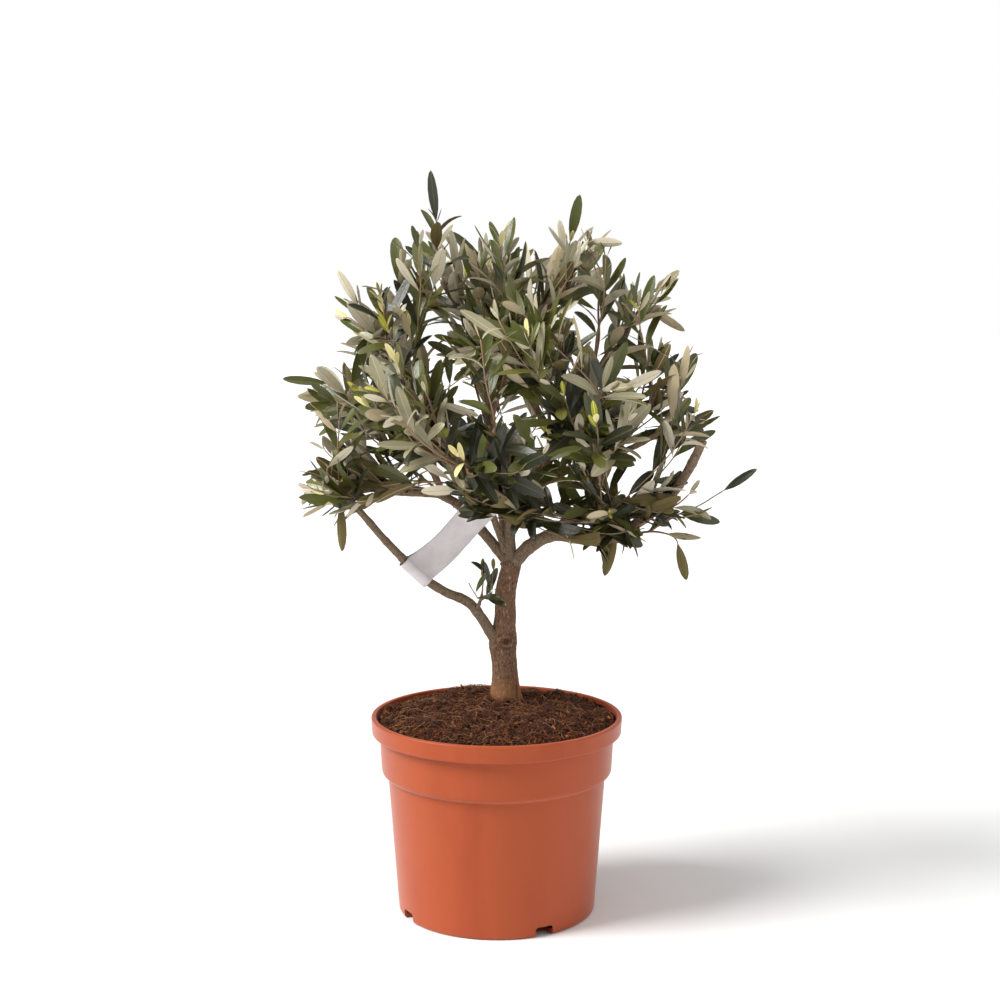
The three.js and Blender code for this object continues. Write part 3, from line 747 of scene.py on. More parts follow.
trunk_material, tree, shader, ramp, place = bark_material(
    "trunk_bark", BARK_DARK, BARK_GREY, BARK_LIGHT, 760, 0.42,
)
# Painted light and shade: near the compost the bark is mixed up to 0.55 with the lighter, warmer foot colour,
# fully from 4 mm and fading out by 28 mm above it, so the trunk is darker higher up where the crown shades
# it.
split = tree.nodes.new("ShaderNodeSeparateXYZ")
low = tree.nodes.new("ShaderNodeMapRange")
low.inputs["From Min"].default_value = SOIL_TOP + 0.028
low.inputs["From Max"].default_value = SOIL_TOP + 0.004
foot_light = tree.nodes.new("ShaderNodeMix")
foot_light.data_type = "RGBA"
foot_light.blend_type = "MIX"
foot_light.inputs["B"].default_value = BARK_FOOT_LIGHT
soften = tree.nodes.new("ShaderNodeMath")
soften.operation = "MULTIPLY"
soften.inputs[1].default_value = 0.55
tree.links.new(place.outputs["Object"], split.inputs[0])
tree.links.new(split.outputs["Z"], low.inputs["Value"])
tree.links.new(low.outputs["Result"], soften.inputs[0])
tree.links.new(soften.outputs[0], foot_light.inputs["Factor"])
tree.links.new(ramp.outputs["Color"], foot_light.inputs["A"])
# Painted shade: the pit in the middle of the pruning scar is coloured dark, on top of its sunk shape.
from_pit = tree.nodes.new("ShaderNodeVectorMath")
from_pit.operation = "DISTANCE"
knot_level = abs(line[:, 2] - SOIL_TOP - KNOT_HEIGHT).argmin()
knot_way = math.radians(KNOT_ANGLE)
knot_out = (taper * knot_bulge[:, 0])[knot_level] * np.array([math.cos(knot_way), math.sin(knot_way), 0])
from_pit.inputs[1].default_value = line[knot_level] + knot_out
pit_shade_mask = tree.nodes.new("ShaderNodeMapRange")
pit_shade_mask.inputs["From Min"].default_value = PIT_SHADE_RADIUS + PIT_SHADE_SOFTNESS
pit_shade_mask.inputs["From Max"].default_value = PIT_SHADE_RADIUS
pit_shade = tree.nodes.new("ShaderNodeMix")
pit_shade.data_type = "RGBA"
pit_shade.inputs["B"].default_value = PIT_SHADE_COLOUR
tree.links.new(place.outputs["Object"], from_pit.inputs[0])
tree.links.new(from_pit.outputs["Value"], pit_shade_mask.inputs["Value"])
tree.links.new(pit_shade_mask.outputs["Result"], pit_shade.inputs["Factor"])
tree.links.new(foot_light.outputs["Result"], pit_shade.inputs["A"])
tree.links.new(pit_shade.outputs["Result"], shader.inputs["Base Color"])
trunk = new_piece("trunk_with_bark", trunk_points, trunk_faces, [trunk_material])
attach(trunk, "root")
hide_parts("trunk")


# Boughs: the limbs that carry the crown, each one tapering and kept where it was trained or cut. The bark
# is smoother than the trunk's, with a swollen collar where a limb leaves its parent and a low ring at each
# old bud. Each limb: its node, radii at foot and tip in millimetres, the share of its length that is bare,
# and the mass that it grows into.
BOUGHS = [
    ("leader", 5.4, 3.6, 0.5, None),
    ("right_bough_inner", 6.4, 4.7, 0.55, None),
    ("right_bough_outer", 4.7, 3.9, 0.0, None),
    ("left_bough_inner", 4.8, 3.8, 0.8, None),
    ("left_bough_outer", 3.8, 2.6, 0.3, "left_low"),
    ("lower_left_bough", 4.7, 2.8, 0.75, "left_low_front"),
    ("back_bough", 4.6, 3.0, 0.6, "back_low"),
    ("left_stem", 3.2, 1.9, 0.3, "top_left"),
    ("upper_right_limb", 3.4, 2.0, 0.1, "top_right_outer"),
    ("upper_middle_limb", 3.3, 1.9, 0.1, "top_right"),
    ("top_limb", 2.2, 1.8, 0.1, "top_middle"),
    ("right_inner_limb", 3.2, 2.2, 0.2, "right_mid"),
    ("right_rising_limb", 2.5, 1.8, 0.1, "right_shoulder"),
    ("left_rising_limb", 2.9, 1.9, 0.1, "left_shoulder"),
    ("left_side_limb", 2.2, 1.7, 0.1, "left_mid"),
    ("front_bough", 3.8, 2.4, 0.4, "front_low"),
    ("front_left_limb", 2.6, 1.9, 0.2, "front_left"),
    ("front_right_limb", 2.8, 1.9, 0.2, "front_right"),
    ("back_left_limb", 2.8, 1.9, 0.2, "back_left"),
    ("back_right_limb", 2.8, 1.9, 0.2, "back_right"),
    ("back_upper_limb", 2.4, 1.8, 0.2, "back_top"),
    ("side_shoot", 1.7, 1.3, 0.5, None),
]
MM = 0.001
# Corners of one ring of a limb lie nearer each other than this, and rings lie further apart.
RING_LINK = 0.008
INTO_PARENT = 2.0
INTO_MASS = 0.7
BOUGH_SIDES = 20
BOUGH_STEP = 0.0016
COLLAR_SWELL = 0.38
COLLAR_LENGTH = 0.006
BUD_RINGS_APART = 0.021
BUD_RING_SWELL = 0.09
BUD_RING_WIDTH = 0.0022
CUT_LIMB = "right_bough_outer"


def middle_of_mass(name):
    """The mean of a mass's corners."""
    return corners_of_node("foliage_" + name).mean(axis=0)


def limb_in_frame(node):
    """A limb's middle line. Its corners fall into rings, found by joining near neighbours, and the
    middles of the rings are walked from the one nearest the trunk."""
    corners = corners_of_node(node)
    near = np.linalg.norm(corners[:, None] - corners[None], axis=-1) < RING_LINK
    ring = np.arange(len(corners))
    for _ in range(len(corners)):
        ring = np.where(near, ring[None], len(corners)).min(axis=1)
    middles = np.array([corners[ring == label].mean(axis=0) for label in np.unique(ring)])
    from_trunk = np.linalg.norm(middles[:, None] - trunk_middle[None], axis=-1).min(axis=1)
    order = [from_trunk.argmin()]
    while len(order) < len(middles):
        away = np.linalg.norm(middles - middles[order[-1]], axis=1)
        away[order] = np.inf
        order.append(away.argmin())
    return middles[order]


trunk_middle = line
bough_points, bough_faces, wood, limb_lines = [], [], [], {}
point_count = 0
for seed, (name, foot, tip, bare, mass) in enumerate(BOUGHS):
    route = limb_in_frame(name)
    route = np.vstack([route[0] + INTO_PARENT * foot * MM * unit(route[0] - route[1]), route])
    if mass:
        route = np.vstack([route, route[-1] + INTO_MASS * (middle_of_mass(mass) - route[-1])])
    rough_length = np.linalg.norm(np.diff(route, axis=0), axis=1).sum()
    line, along = bough_line(route, max(8, int(rough_length / BOUGH_STEP)))
    angle = 2 * np.pi * np.arange(BOUGH_SIDES) / BOUGH_SIDES
    share = along / along[-1]
    taper = (foot + (tip - foot) * share) * MM
    collar = COLLAR_SWELL * np.exp(-along / COLLAR_LENGTH)
    to_ring = (along + 0.004 * seed) % BUD_RINGS_APART - BUD_RINGS_APART / 2
    buds = BUD_RING_SWELL * np.exp(-((to_ring / BUD_RING_WIDTH) ** 2))
    end = np.sqrt(np.clip(1 - ((along - along[-1] + 0.003) / 0.003).clip(0, 1) ** 4, 0.15, 1))
    if name == CUT_LIMB:
        end = 1 - 0.12 * ((along - along[-1] + 0.002) / 0.002).clip(0, 1)
    ring = np.stack([
        taper[:, None] * np.cos(angle),
        taper[:, None] * np.sin(angle),
        along[:, None] + 0 * angle,
    ], -1)
    wrinkles = (
        0.00022 * cloud(ring * [1, 1, 0.35], 0.002, 40 + seed)
        + 0.0001 * cloud(ring, 0.0008, 70 + seed)
    )
    lean = 0.05 * cloud(ring, 0.011, 90 + seed)
    radii = (taper * (1 + collar + buds))[:, None] * (1 + lean) + wrinkles
    points, faces = tubes(line[None], (radii * end[:, None])[None], BOUGH_SIDES)
    bough_points.append(points)
    bough_faces.append(np.where(faces < 0, -1, faces + point_count))
    point_count += len(points)
    ahead = unit(np.gradient(line, axis=0))
    limb_lines[name] = line
    leafy = (share >= bare) & (name != "side_shoot")
    wood.append((line[::3], ahead[::3], taper[::3], leafy[::3]))

bough_material, tree, shader, ramp, place = bark_material(
    "bough_bark", paint(76, 58, 44), paint(128, 108, 88), paint(158, 140, 118), 700, 0.6
)
boughs = new_piece("boughs_with_bark", np.vstack(bough_points), np.vstack(bough_faces), [bough_material])
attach(boughs, "root")
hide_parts(*[row[0] for row in BOUGHS])


# Label: a strip of white paper, looped round the lower left bough and stuck to itself so that it hangs as
# one doubled, slightly bowed tail. It carries no printing.
LABEL_WIDTH = 0.029
LABEL_LENGTH = 0.089
LABEL_LOOP_RADIUS = 0.0056
LABEL_GAP = 0.0004
LABEL_PAPER = 0.00016
LABEL_CLOSES_AT = 0.014
LABEL_RISE = 38
LABEL_BEARING = -5
LABEL_BOW = 0.007
LABEL_CURL = 0.003
LABEL_SWEEP = 0.007
LABEL_STEPS_ACROSS = 18


def label_strip():
    """The strip's side view is a path of length and face: out along one layer, round the loop, back along
    the other. Carried across its width, it bows by sin(pi s) and curls at its corners by s² w²."""
    tail = np.linspace(LABEL_LENGTH, LABEL_CLOSES_AT, 40)
    mouth = math.radians(20)
    turn = np.linspace(mouth, 2 * np.pi - mouth, 40)
    loop = LABEL_LOOP_RADIUS * np.stack([np.cos(turn), np.sin(turn)], axis=1)
    near = np.stack([tail, np.full(len(tail), LABEL_GAP / 2)], axis=1)
    far = near[::-1] * [1, -1]
    path = np.vstack([near, loop, far])
    across = np.linspace(-1, 1, LABEL_STEPS_ACROSS)
    s = np.clip((path[:, :1] - LABEL_LOOP_RADIUS) / (LABEL_LENGTH - LABEL_LOOP_RADIUS), 0, 1)
    bow = LABEL_BOW * np.sin(np.pi * s) + LABEL_CURL * s**2 * across**2 - 0.002 * s * across
    wave = 0.0007 * np.sin(9 * s + 2 * across)
    length = path[:, :1] + 0 * across
    face = path[:, 1:] + bow + wave * s
    width = (
        LABEL_WIDTH / 2 * across * (1 - 0.06 * np.sin(np.pi * s))
        - LABEL_SWEEP * np.sin(np.pi * s) * (1 - s)
    )
    return length, face, width


length, face, width = label_strip()
loop_corners = corners_of_node("label")
rise, bearing = math.radians(LABEL_RISE), math.radians(LABEL_BEARING)
length_axis = np.array([
    math.cos(rise) * math.cos(bearing),
    math.cos(rise) * math.sin(bearing),
    math.sin(rise),
])
reach = loop_corners @ length_axis
loop_corners = loop_corners[reach < reach.min() + 2 * LABEL_LOOP_RADIUS]
bough = limb_lines["lower_left_bough"]
nearest = np.linalg.norm(bough - loop_corners.mean(axis=0), axis=1).argmin()
label_at = bough[nearest]
width_axis = unit(bough[nearest + 3] - bough[nearest - 3])
length_axis = unit(length_axis - width_axis * length_axis.dot(width_axis))
face_axis = np.cross(width_axis, length_axis)
label_points = (
    label_at + length[..., None] * length_axis + face[..., None] * face_axis + width[..., None] * width_axis
)
rows, columns = length.shape
row, column = np.meshgrid(np.arange(rows - 1), np.arange(columns - 1), indexing="ij")
corner = row * columns + column
label_faces = np.stack([corner, corner + 1, corner + columns + 1, corner + columns], axis=-1).reshape(-1, 4)
paper, tree, shader = new_material("label_paper", paint(226, 219, 220), 0.8)
noise_colours(tree, shader, 60, [(0.35, paint(216, 208, 210)), (0.65, paint(232, 226, 226))], detail=5)
add_grain(tree, shader, 2500, 0.7, 0.9, 0.00004, detail=4)
label = new_piece("blank_label", label_points.reshape(-1, 3), label_faces, [paper])
thicken = label.modifiers.new("paper", "SOLIDIFY")
thicken.thickness = LABEL_PAPER
thicken.offset = 0
apply_modifiers(label)
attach(label, "root")
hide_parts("label")


# Twigs: what the boughs carry. Each shoot leaves the wood at an angle and bends up towards the light, and
# later shoots grow from earlier ones. Near every mass of the crown they end in spaced-out tips.
# Shoots in each mass go by the square root of its size. The masses round the heart of the crown are denser.
SHOOTS_PER_MASS = 6.6
TYPICAL_MASS = 0.00007
DENSER = {
    "heart_low": 3.0, "heart_left": 1.5, "heart_right": 1.5, "heart_upper": 1.5, "right_underside": 1.5,
    "low_tuft": 3.6,
}
SPARSER = (
    "left_mid", "right_mid", "right_shoulder", "right_low", "left_low", "left_low_front",
    "top_right_outer",
)
SPARSE_SHARE = 0.7
# A corner of a mass is an outermost leaf tip if it stands out this far and none nearby stands out more.
STANDS_OUT = 1.3
TIPS_APART = 0.024
LAST_LEAF = (0.036, 0.046)
# The tuft of small leaves on the side shoot, low on the trunk.
LOW_TUFT = "low_tuft"
LOW_TUFT_REACH = 0.016
LOW_TUFT_SIZE = 0.6
# Shoots fill each mass this much further front to back than side to side, so that the crown closes from the
# side.
DEPTH_SPREAD = 1.35
TWIG_POINTS = 18
TWIG_SIDES = 6
TWIG_SWAY = 0.012
TWIG_TIP = 0.0006
TWIG_FOOT = 0.0009
TWIG_THICKENS = 0.011
TIP_TRIES = 30
REACH = (0.060, 0.120)
SHORTEST = 0.030
UPWARD = 0.5
YOUNG_SHARE = 0.16

tree_random = np.random.default_rng(2024)
shoots = []


def leave_wood(tip, reach, anywhere=False):
    """Where a shoot to this tip leaves the wood: the place with the least charge, which is how far its
    distance is from reach, plus a part for turning back and a part for growing downwards."""
    spots, ahead, width, leafy = (np.concatenate(parts) for parts in zip(*wood))
    away = tip - spots
    distance = np.linalg.norm(away, axis=1)
    forward = (away * ahead).sum(axis=1) / distance
    rise = away[:, 2] / distance
    charge = np.abs(distance - reach) + 0.35 * reach * (1 - forward) + 0.15 * reach * (1 - rise)
    if not anywhere:
        charge[~leafy | (distance < SHORTEST)] = np.inf
    best = charge.argmin()
    return spots[best], ahead[best], width[best]


def grow(tip, reach, manner, anywhere=False, last_leaf=None):
    """Adds a shoot: the curve (2t³-3t²+1) a + (t³-2t²+t) u + (3t²-2t³) b + (t³-t²) v from the wood a to
    the tip b, with a slope u between the wood's and the tip's direction and an end slope v that turns
    up."""
    start, ahead, parent = leave_wood(tip, reach, anywhere)
    span = np.linalg.norm(tip - start)
    away = (tip - start) / span
    u = unit(0.9 * away + 0.45 * ahead) * span
    turned_up = away + (0, 0, UPWARD) if last_leaf is None else unit(last_leaf) + 0.4 * away
    v = unit(turned_up + tree_random.normal(0, 0.12, 3)) * span * 0.9
    t = np.linspace(0, 1, TWIG_POINTS)[:, None]
    path = (
        (2 * t**3 - 3 * t**2 + 1) * start + (t**3 - 2 * t**2 + t) * u
        + (3 * t**2 - 2 * t**3) * tip + (t**3 - t**2) * v
    )
    sway = unit(np.cross(away, tree_random.normal(size=3)))
    path = path + (
        TWIG_SWAY * span * np.sin(2 * np.pi * (1.5 * t + tree_random.random()))
        * np.sin(np.pi * t) * sway
    )
    foot = min(0.8 * parent, TWIG_FOOT + TWIG_THICKENS * span)
    radii = foot + (TWIG_TIP - foot) * t[:, 0] ** 0.8
    shoots.append({"path": path, "radii": radii, "manner": manner, "last_leaf": last_leaf})
    leafy = np.full(len(path[2::2]), manner != "low")
    wood.append((path[2::2], unit(np.gradient(path, axis=0))[2::2], radii[2::2], leafy))


crown = {}
for node in sorted(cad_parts):
    if node.startswith("foliage_"):
        corners = corners_of_node(node)
        crown[node[len("foliage_"):]] = (corners.mean(axis=0), 3**0.5 * corners.std(axis=0), corners)


def outermost(middle, half, corners):
    """The corners of a mass that stand out of its ball further than every other one near them."""
    out = np.linalg.norm((corners - middle) / half, axis=1)
    near = np.linalg.norm(corners[:, None] - corners[None], axis=-1) < TIPS_APART
    return corners[(out > STANDS_OUT) & (out >= np.where(near, out[None], 0).max(axis=1))]


for name, (middle, half, corners) in crown.items():
    for leaf_tip in outermost(middle, half, corners):
        if name == LOW_TUFT:
            continue
        ahead = unit(unit(leaf_tip - middle) + tree_random.normal(0, 0.15, 3))
        end = leaf_tip - ahead * tree_random.uniform(*LAST_LEAF)
        grow(end, np.linalg.norm(end - middle) + 0.02, "mixed", False, leaf_tip - end)

ended = [shoot["path"][-1] for shoot in shoots]
for name, (middle, half, corners) in crown.items():
    share = DENSER.get(name, SPARSE_SHARE if name in SPARSER else 1.0)
    count = round(SHOOTS_PER_MASS * share * (half.prod() / TYPICAL_MASS) ** 0.5)
    wished = []
    for _ in range(count):
        ways = unit(tree_random.normal(size=(TIP_TRIES, 3)))
        tries = middle + ways * half * (1, DEPTH_SPREAD, 1) * tree_random.uniform(0.1, 0.7, (TIP_TRIES, 1))
        gaps = np.linalg.norm(tries[:, None] - np.array(ended)[None], axis=-1).min(axis=1)
        wished.append(tries[gaps.argmax()])
        ended.append(wished[-1])
    spots = np.concatenate([part[0] for part in wood])
    wished.sort(key=lambda spot: np.linalg.norm(spots - spot, axis=1).min())
    for tip in wished:
        manner = "young" if tree_random.random() < YOUNG_SHARE else "mixed"
        if name == LOW_TUFT:
            grow(tip, LOW_TUFT_REACH, "low", True)
        else:
            grow(tip, tree_random.uniform(*REACH), manner)

twig_paths = np.array([shoot["path"] for shoot in shoots])
twig_radii = np.array([shoot["radii"] for shoot in shoots])
twig_points, twig_faces = tubes(twig_paths, twig_radii, TWIG_SIDES)
TWIG_COLOURS = [("twig_grey", (128, 106, 90)), ("twig_tan", (162, 128, 100)), ("twig_olive", (128, 112, 78))]
twig_materials = []
for twig_name, colour in TWIG_COLOURS:
    twig_material, tree, shader = new_material(twig_name, paint(*colour), 0.75)
    add_grain(tree, shader, 1600, 0.6, 0.85, 0.0003, detail=5)
    twig_materials.append(twig_material)
twig_slots = tree_random.choice(3, len(shoots), p=[0.4, 0.35, 0.25]).repeat(len(twig_faces) // len(shoots))
twigs = new_piece("twigs", twig_points, twig_faces, twig_materials, twig_slots)
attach(twigs, "root")


# Leaves: narrow leathery blades in opposite pairs, each pair turned a quarter from the one before. They are
# dark and glossy above, felted silver below, folded a little along the midrib, and cream when young.
PAIR_GAP = (0.0115, 0.0165)
BARE_FOOT = 0.22
LEAF_LENGTH = (0.036, 0.050)
LEAF_WIDTH = (0.19, 0.255)
# Along a blade: share of its length, and half width as a share of its widest.
BLADE_STATIONS = np.array([0, 0.07, 0.14, 0.28, 0.46, 0.66, 0.84, 0.95, 1.0])
BLADE_WIDTHS = np.array([0.10, 0.11, 0.32, 0.72, 0.97, 1.0, 0.80, 0.46, 0.10])
MIDRIB = 0.00032
BLADE_THICK = 0.00042
CLEAR_OF_LABEL = 0.010
LABEL_MARGIN = 0.004
# Leaves whose tips lie this far out of every mass are shortened, and further out they are left off.
STRAY_FROM = 1.2
STRAY_LENGTH = 0.82
STRAY_LIMIT = 1.5
CROWN_MIDDLE = np.array([0.01, 0.01, 0.44])
# How strongly a shaded leaf turns its upper side up and out of the crown.
FACE_OUT = 0.75
# Leaf colours for the upper side, the midrib and the under side. The deepest upper side and the olive under
# side are painted shade, and the grey upper side is a painted sheen.
LEAF_COLOURS = {
    "upper_painted_shade": (36, 39, 21), "upper_dark": (57, 60, 26), "upper_green": (80, 84, 28),
    "upper_mid": (108, 108, 46), "upper_painted_sheen": (154, 148, 118),
    "under_silver": (214, 204, 180), "under_beige": (192, 176, 144), "under_painted_shade": (112, 98, 60),
    "rib_dark": (88, 92, 48), "rib_pale": (190, 180, 146),
    "young_green": (172, 172, 52), "young_cream": (236, 224, 166), "young_rib": (222, 212, 136),
}
LEAF_SLOTS = {name: index for index, name in enumerate(LEAF_COLOURS)}
# Sets of upper side, upper rib, under side and under rib.
MATURE_SETS = [
    ("upper_painted_shade", "rib_dark", "under_painted_shade", "rib_dark"),
    ("upper_dark", "rib_dark", "under_painted_shade", "rib_pale"),
    ("upper_green", "rib_dark", "under_beige", "rib_pale"),
    ("upper_green", "rib_dark", "under_silver", "rib_pale"),
    ("upper_mid", "rib_dark", "under_silver", "rib_pale"),
    ("upper_painted_sheen", "rib_pale", "under_silver", "rib_pale"),
]
# How often each set comes, low and deep in the crown and then high on it or out at its sides: the darker sets
# paint shade low and deep, and the lighter, greyer ones paint light and sheen high and out.
SHADED_ODDS = np.array([0.5, 0.26, 0.14, 0.06, 0.03, 0.01])
SUNLIT_ODDS = np.array([0.05, 0.12, 0.18, 0.25, 0.19, 0.21])
SHADED_BELOW = 0.40
SUNLIT_ABOVE = 0.53
LEFT_GAIN = 1.1
RIGHT_GAIN = 0.5
CROWN_HALF_WIDTH = 0.2
YOUNG_SETS = [
    ("young_green", "young_rib", "young_cream", "young_rib"),
    ("young_cream", "young_rib", "young_cream", "young_rib"),
]

LEAF_SHAPE = ("foot", "ahead", "face", "length", "width", "fold", "bend", "twist")
leaves = {key: [] for key in LEAF_SHAPE + ("set", "key")}
leaf_random = np.random.default_rng(77)


def add_leaf(foot, ahead, face, length, width, bend, colours, key=False):
    """Notes one leaf: its foot, its direction, the way its upper side faces, and its size."""
    ahead = unit(ahead)
    face = unit(face - ahead * np.dot(face, ahead))
    leaves["foot"].append(foot)
    leaves["ahead"].append(ahead)
    leaves["face"].append(face)
    leaves["length"].append(length)
    leaves["width"].append(width)
    leaves["fold"].append(leaf_random.uniform(0.08, 0.38))
    leaves["bend"].append(bend)
    leaves["twist"].append(leaf_random.normal(0, 0.25))
    leaves["set"].append([LEAF_SLOTS[colour] for colour in colours])
    leaves["key"].append(key)


def sun_at(spot):
    """How sunlit a spot is, from 0 to 1: more the higher it lies and the further out to either side."""
    sideways = max(-LEFT_GAIN * spot[0], RIGHT_GAIN * spot[0]) / CROWN_HALF_WIDTH
    sun = (spot[2] - SHADED_BELOW) / (SUNLIT_ABOVE - SHADED_BELOW) + sideways
    return min(1.0, max(0.0, sun))


def mature_set(spot):
    """A colour set for this spot: its odds pass from shaded to sunlit with sun_at, so the leaf colours paint
    the crown's shade and light.
    """
    sun = sun_at(spot)
    odds = SHADED_ODDS * (1 - sun) + SUNLIT_ODDS * sun
    return MATURE_SETS[leaf_random.choice(len(MATURE_SETS), p=odds / odds.sum())]


for shoot in shoots:
    path, manner = shoot["path"], shoot["manner"]
    along = np.concatenate([[0], np.cumsum(np.linalg.norm(np.diff(path, axis=0), axis=1))])
    ahead_all = unit(np.gradient(path, axis=0))
    colours = mature_set(path[-1])
    young = YOUNG_SETS[leaf_random.choice(2, p=[0.6, 0.4])]
    place = BARE_FOOT * along[-1] + leaf_random.uniform(0, 0.008)
    turn = leaf_random.uniform(0, np.pi)
    # The low tuft under the crown takes only the two darkest sets, as painted shade.
    if manner == "low":
        colours = young = MATURE_SETS[leaf_random.choice(2)]
    elif along[-1] < 0.024:
        place = along[-1]
    while place < along[-1] - 0.003:
        share = place / along[-1]
        spot = np.array([np.interp(place, along, path[:, axis]) for axis in range(3)])
        ahead = unit(np.array([np.interp(place, along, ahead_all[:, axis]) for axis in range(3)]))
        side = unit(np.cross(ahead, (0.31, 0.17, 0.93)))
        up = np.cross(ahead, side)
        size = (0.72 + 0.4 * math.sin(math.pi * min(1, share * 0.9))) * (0.62 if share > 0.9 else 1)
        for half_turn in (0, np.pi):
            if leaf_random.random() < 0.07:
                continue
            way = turn + half_turn + leaf_random.normal(0, 0.22)
            out = math.cos(way) * side + math.sin(way) * up
            opening = math.radians(leaf_random.normal(56 - 24 * share, 9))
            leaf_ahead = math.cos(opening) * ahead + math.sin(opening) * out
            leaf_ahead = unit(leaf_ahead + (0, 0, leaf_random.normal(-0.06, 0.1)))
            face = math.sin(opening) * ahead - math.cos(opening) * out
            outward = unit((spot - CROWN_MIDDLE) * (1, 1, 0))
            turned_out = FACE_OUT * (1 - 0.6 * sun_at(spot))
            face = unit(face + turned_out * outward + (0, 0, turned_out) + leaf_random.normal(0, 0.28, 3))
            length = size * leaf_random.uniform(*LEAF_LENGTH) * (LOW_TUFT_SIZE if manner == "low" else 1)
            width = length * leaf_random.uniform(*LEAF_WIDTH)
            picked = colours
            if share > 0.9 and (manner == "young" or leaf_random.random() < 0.12):
                picked = young
                length *= 0.7
            elif leaf_random.random() < 0.25:
                picked = mature_set(spot)
            add_leaf(spot, leaf_ahead, face, length, width, leaf_random.normal(-0.12, 0.3), picked)
        gap = leaf_random.uniform(*PAIR_GAP) * (LOW_TUFT_SIZE if manner == "low" else 1)
        place += gap * (1.15 - 0.35 * share)
        turn += np.pi / 2 + leaf_random.normal(0, 0.2)
    tip, ahead = path[-1], ahead_all[-1]
    if shoot["last_leaf"] is not None:
        last = shoot["last_leaf"]
        length = np.linalg.norm(last)
        front = np.array([leaf_random.normal(0, 0.25), leaf_random.choice([-1.0, 1.0]), 0.35])
        add_leaf(tip, last, front, length, length * leaf_random.uniform(*LEAF_WIDTH), 0.1, colours, True)
    small = young if manner == "young" or leaf_random.random() < 0.16 else colours
    turn_at_tip = leaf_random.uniform(0, np.pi)
    side = unit(np.cross(ahead, (0.31, 0.17, 0.93)))
    up = np.cross(ahead, side)
    for half_turn in (0, np.pi):
        out = math.cos(turn_at_tip + half_turn) * side + math.sin(turn_at_tip + half_turn) * up
        opening = math.radians(leaf_random.uniform(12, 30))
        leaf_ahead = math.cos(opening) * ahead + math.sin(opening) * out
        face = math.sin(opening) * ahead - math.cos(opening) * out
        length = leaf_random.uniform(0.011, 0.022)
        add_leaf(tip, leaf_ahead, face, length, 0.26 * length, leaf_random.normal(0, 0.2), small)

blade = {key: np.array(leaves[key], float) for key in LEAF_SHAPE}
blade_sets, is_key = np.array(leaves["set"]), np.array(leaves["key"])


def mass_distances(spots):
    """For each spot and each mass, their squared distance counted in the mass's half widths."""
    middles = np.array([mass[0] for mass in crown.values()])
    halves = np.array([mass[1] for mass in crown.values()])
    return (((spots[:, None] - middles) / halves) ** 2).sum(axis=-1)


def near_label(spots):
    """Whether each spot lies in the room that the foliage leaves round the label's tail."""
    away = spots - label_at
    reach, off, wide = away @ length_axis, away @ face_axis, away @ width_axis
    room = LABEL_LOOP_RADIUS + CLEAR_OF_LABEL
    in_length = (reach > -room) & (reach < LABEL_LENGTH + LABEL_MARGIN)
    return in_length & (abs(off) < room) & (abs(wide) < LABEL_WIDTH / 2 + LABEL_MARGIN)


tips = blade["foot"] + blade["ahead"] * blade["length"][:, None]
outside = mass_distances(tips).min(axis=1)
blade["length"] = np.where(~is_key & (outside > STRAY_FROM), blade["length"] * STRAY_LENGTH, blade["length"])
tips = blade["foot"] + blade["ahead"] * blade["length"][:, None]
middles = (tips + blade["foot"]) / 2
kept = is_key | (mass_distances(tips).min(axis=1) < STRAY_LIMIT)
kept &= ~near_label(middles) & ~near_label(tips)
blade = {key: value[kept] for key, value in blade.items()}
blade_sets = blade_sets[kept]


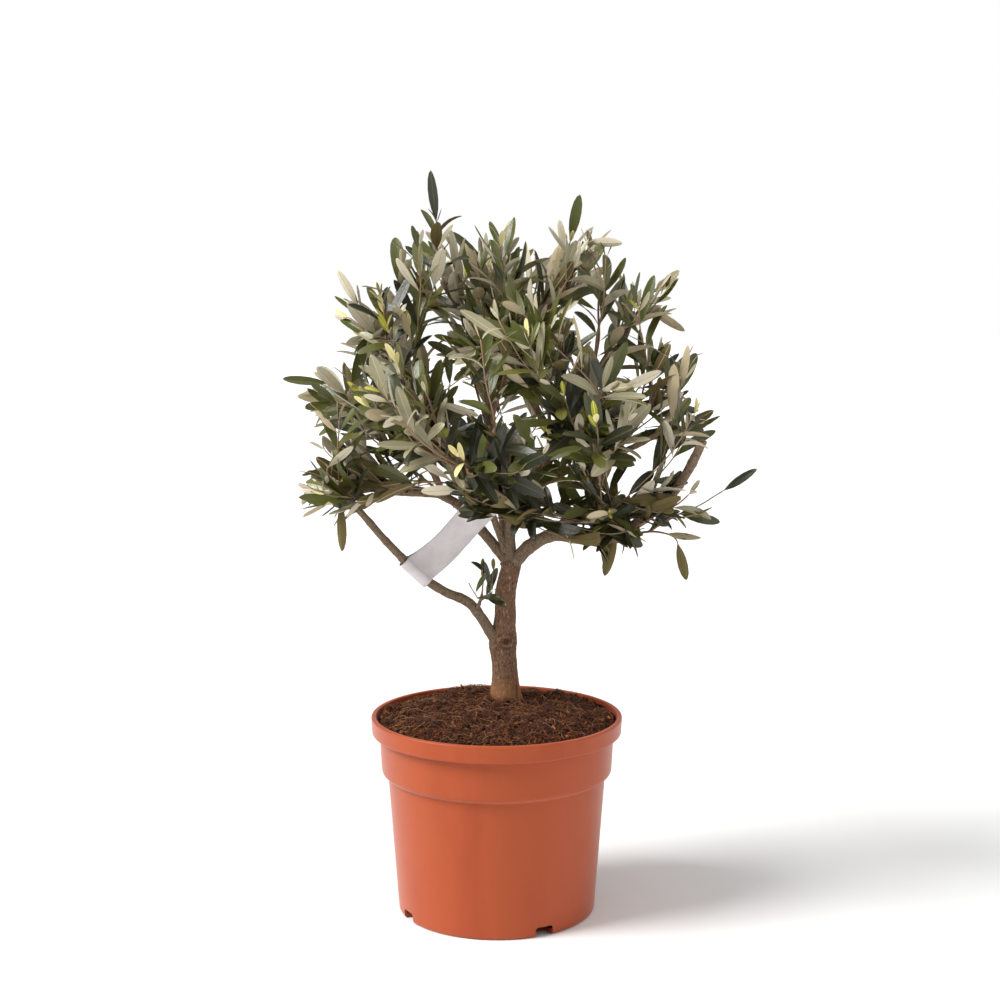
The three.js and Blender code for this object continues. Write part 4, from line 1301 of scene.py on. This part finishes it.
def leaf_blades(foot, ahead, face, length, width, fold, bend, twist):
    """Closed blades. The midrib runs from the foot in the direction ahead, turning towards the face by
    bend times the share of its length. Across it lie six points: two edges, raised by the fold, and a rib
    above and below."""
    t = BLADE_STATIONS
    lean = bend[:, None] * t * 1.6
    normal = face[:, None] * np.cos(lean)[..., None] - ahead[:, None] * np.sin(lean)[..., None]
    forward = ahead[:, None] * np.cos(lean)[..., None] + face[:, None] * np.sin(lean)[..., None]
    steps = np.diff(t)[:, None] * (forward[:, 1:] + forward[:, :-1]) / 2
    rib = np.concatenate([0 * foot[:, None], np.cumsum(steps, axis=1)], axis=1) * length[:, None, None]
    rib = rib + foot[:, None]
    cross = np.cross(forward, normal)
    roll = (twist[:, None] * t)[..., None]
    cross, normal = cross * np.cos(roll) + normal * np.sin(roll), normal * np.cos(roll) - cross * np.sin(roll)
    half = width[:, None] / 2 * BLADE_WIDTHS
    ribs = np.minimum(MIDRIB, half * 0.6)
    rise = half * np.sin(fold)[:, None]
    spread = half * np.cos(fold)[:, None]
    thick = BLADE_THICK * np.minimum(1, half / 0.002)
    across = np.stack([-spread, -ribs, ribs, spread, ribs, -ribs], axis=-1)
    above = np.stack([rise, thick / 2, thick / 2, rise, -thick / 2, -thick / 2], axis=-1)
    rings = rib[:, :, None] + across[..., None] * cross[:, :, None] + above[..., None] * normal[:, :, None]
    count, stations = rings.shape[:2]
    ends = np.stack([rings[:, 0].mean(axis=1), rings[:, -1].mean(axis=1)], axis=1)
    points = np.concatenate([rings.reshape(count, -1, 3), ends], axis=1)
    faces = np.vstack([
        ring_faces(stations, 6)[:, ::-1],
        np.roll(fan_faces(stations * 6, 0, 6, True), 0, axis=1),
        fan_faces(stations * 6 + 1, (stations - 1) * 6, 6, False),
    ])
    shift = points.shape[1] * np.arange(count)[:, None, None]
    joined = np.where(faces[None] < 0, -1, faces[None] + shift)
    strips = np.array([0, 1, 0, 2, 3, 2])
    parts = np.concatenate([np.tile(strips, stations - 1), strips, strips])
    edges = np.zeros(points.shape[1], bool)
    edges[: stations * 6][np.arange(stations * 6) % 3 == 0] = True
    return points.reshape(-1, 3), joined.reshape(-1, 4), parts, np.tile(edges, count)


leaf_materials = []
for leaf_name, colour in LEAF_COLOURS.items():
    glossy = leaf_name.startswith("upper")
    leaf_material, tree, shader = new_material("leaf_" + leaf_name, paint(*colour), 0.5)
    add_grain(tree, shader, 700, *((0.28, 0.42) if glossy else (0.6, 0.8)), 0.00025, detail=4)
    shader.inputs["Specular IOR Level"].default_value = 0.6 if glossy else 0.25
    leaf_materials.append(leaf_material)

leaf_home = np.array(list(crown))[mass_distances(blade["foot"]).argmin(axis=1)]
# Each side's leaves are one piece, which stands for the masses on that side.
for side_name, side_sign in (("left", -1), ("right", 1)):
    homes = [name for name, mass in crown.items() if side_sign * (mass[0][0] - CROWN_MIDDLE[0]) >= 0]
    here = np.isin(leaf_home, homes)
    leaf_points, leaf_faces, leaf_parts, leaf_edges = leaf_blades(*(blade[key][here] for key in LEAF_SHAPE))
    leaf_slots = blade_sets[here][:, leaf_parts].ravel()
    foliage = new_piece("leaves_" + side_name, leaf_points, leaf_faces, leaf_materials, leaf_slots)
    edge_ends = np.zeros(2 * len(foliage.data.edges), np.int32)
    foliage.data.edges.foreach_get("vertices", edge_ends)
    foliage.data.edges.foreach_set("use_edge_sharp", leaf_edges[edge_ends.reshape(-1, 2)].all(axis=1))
    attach(foliage, "root")
    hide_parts(*["foliage_" + name for name in homes])
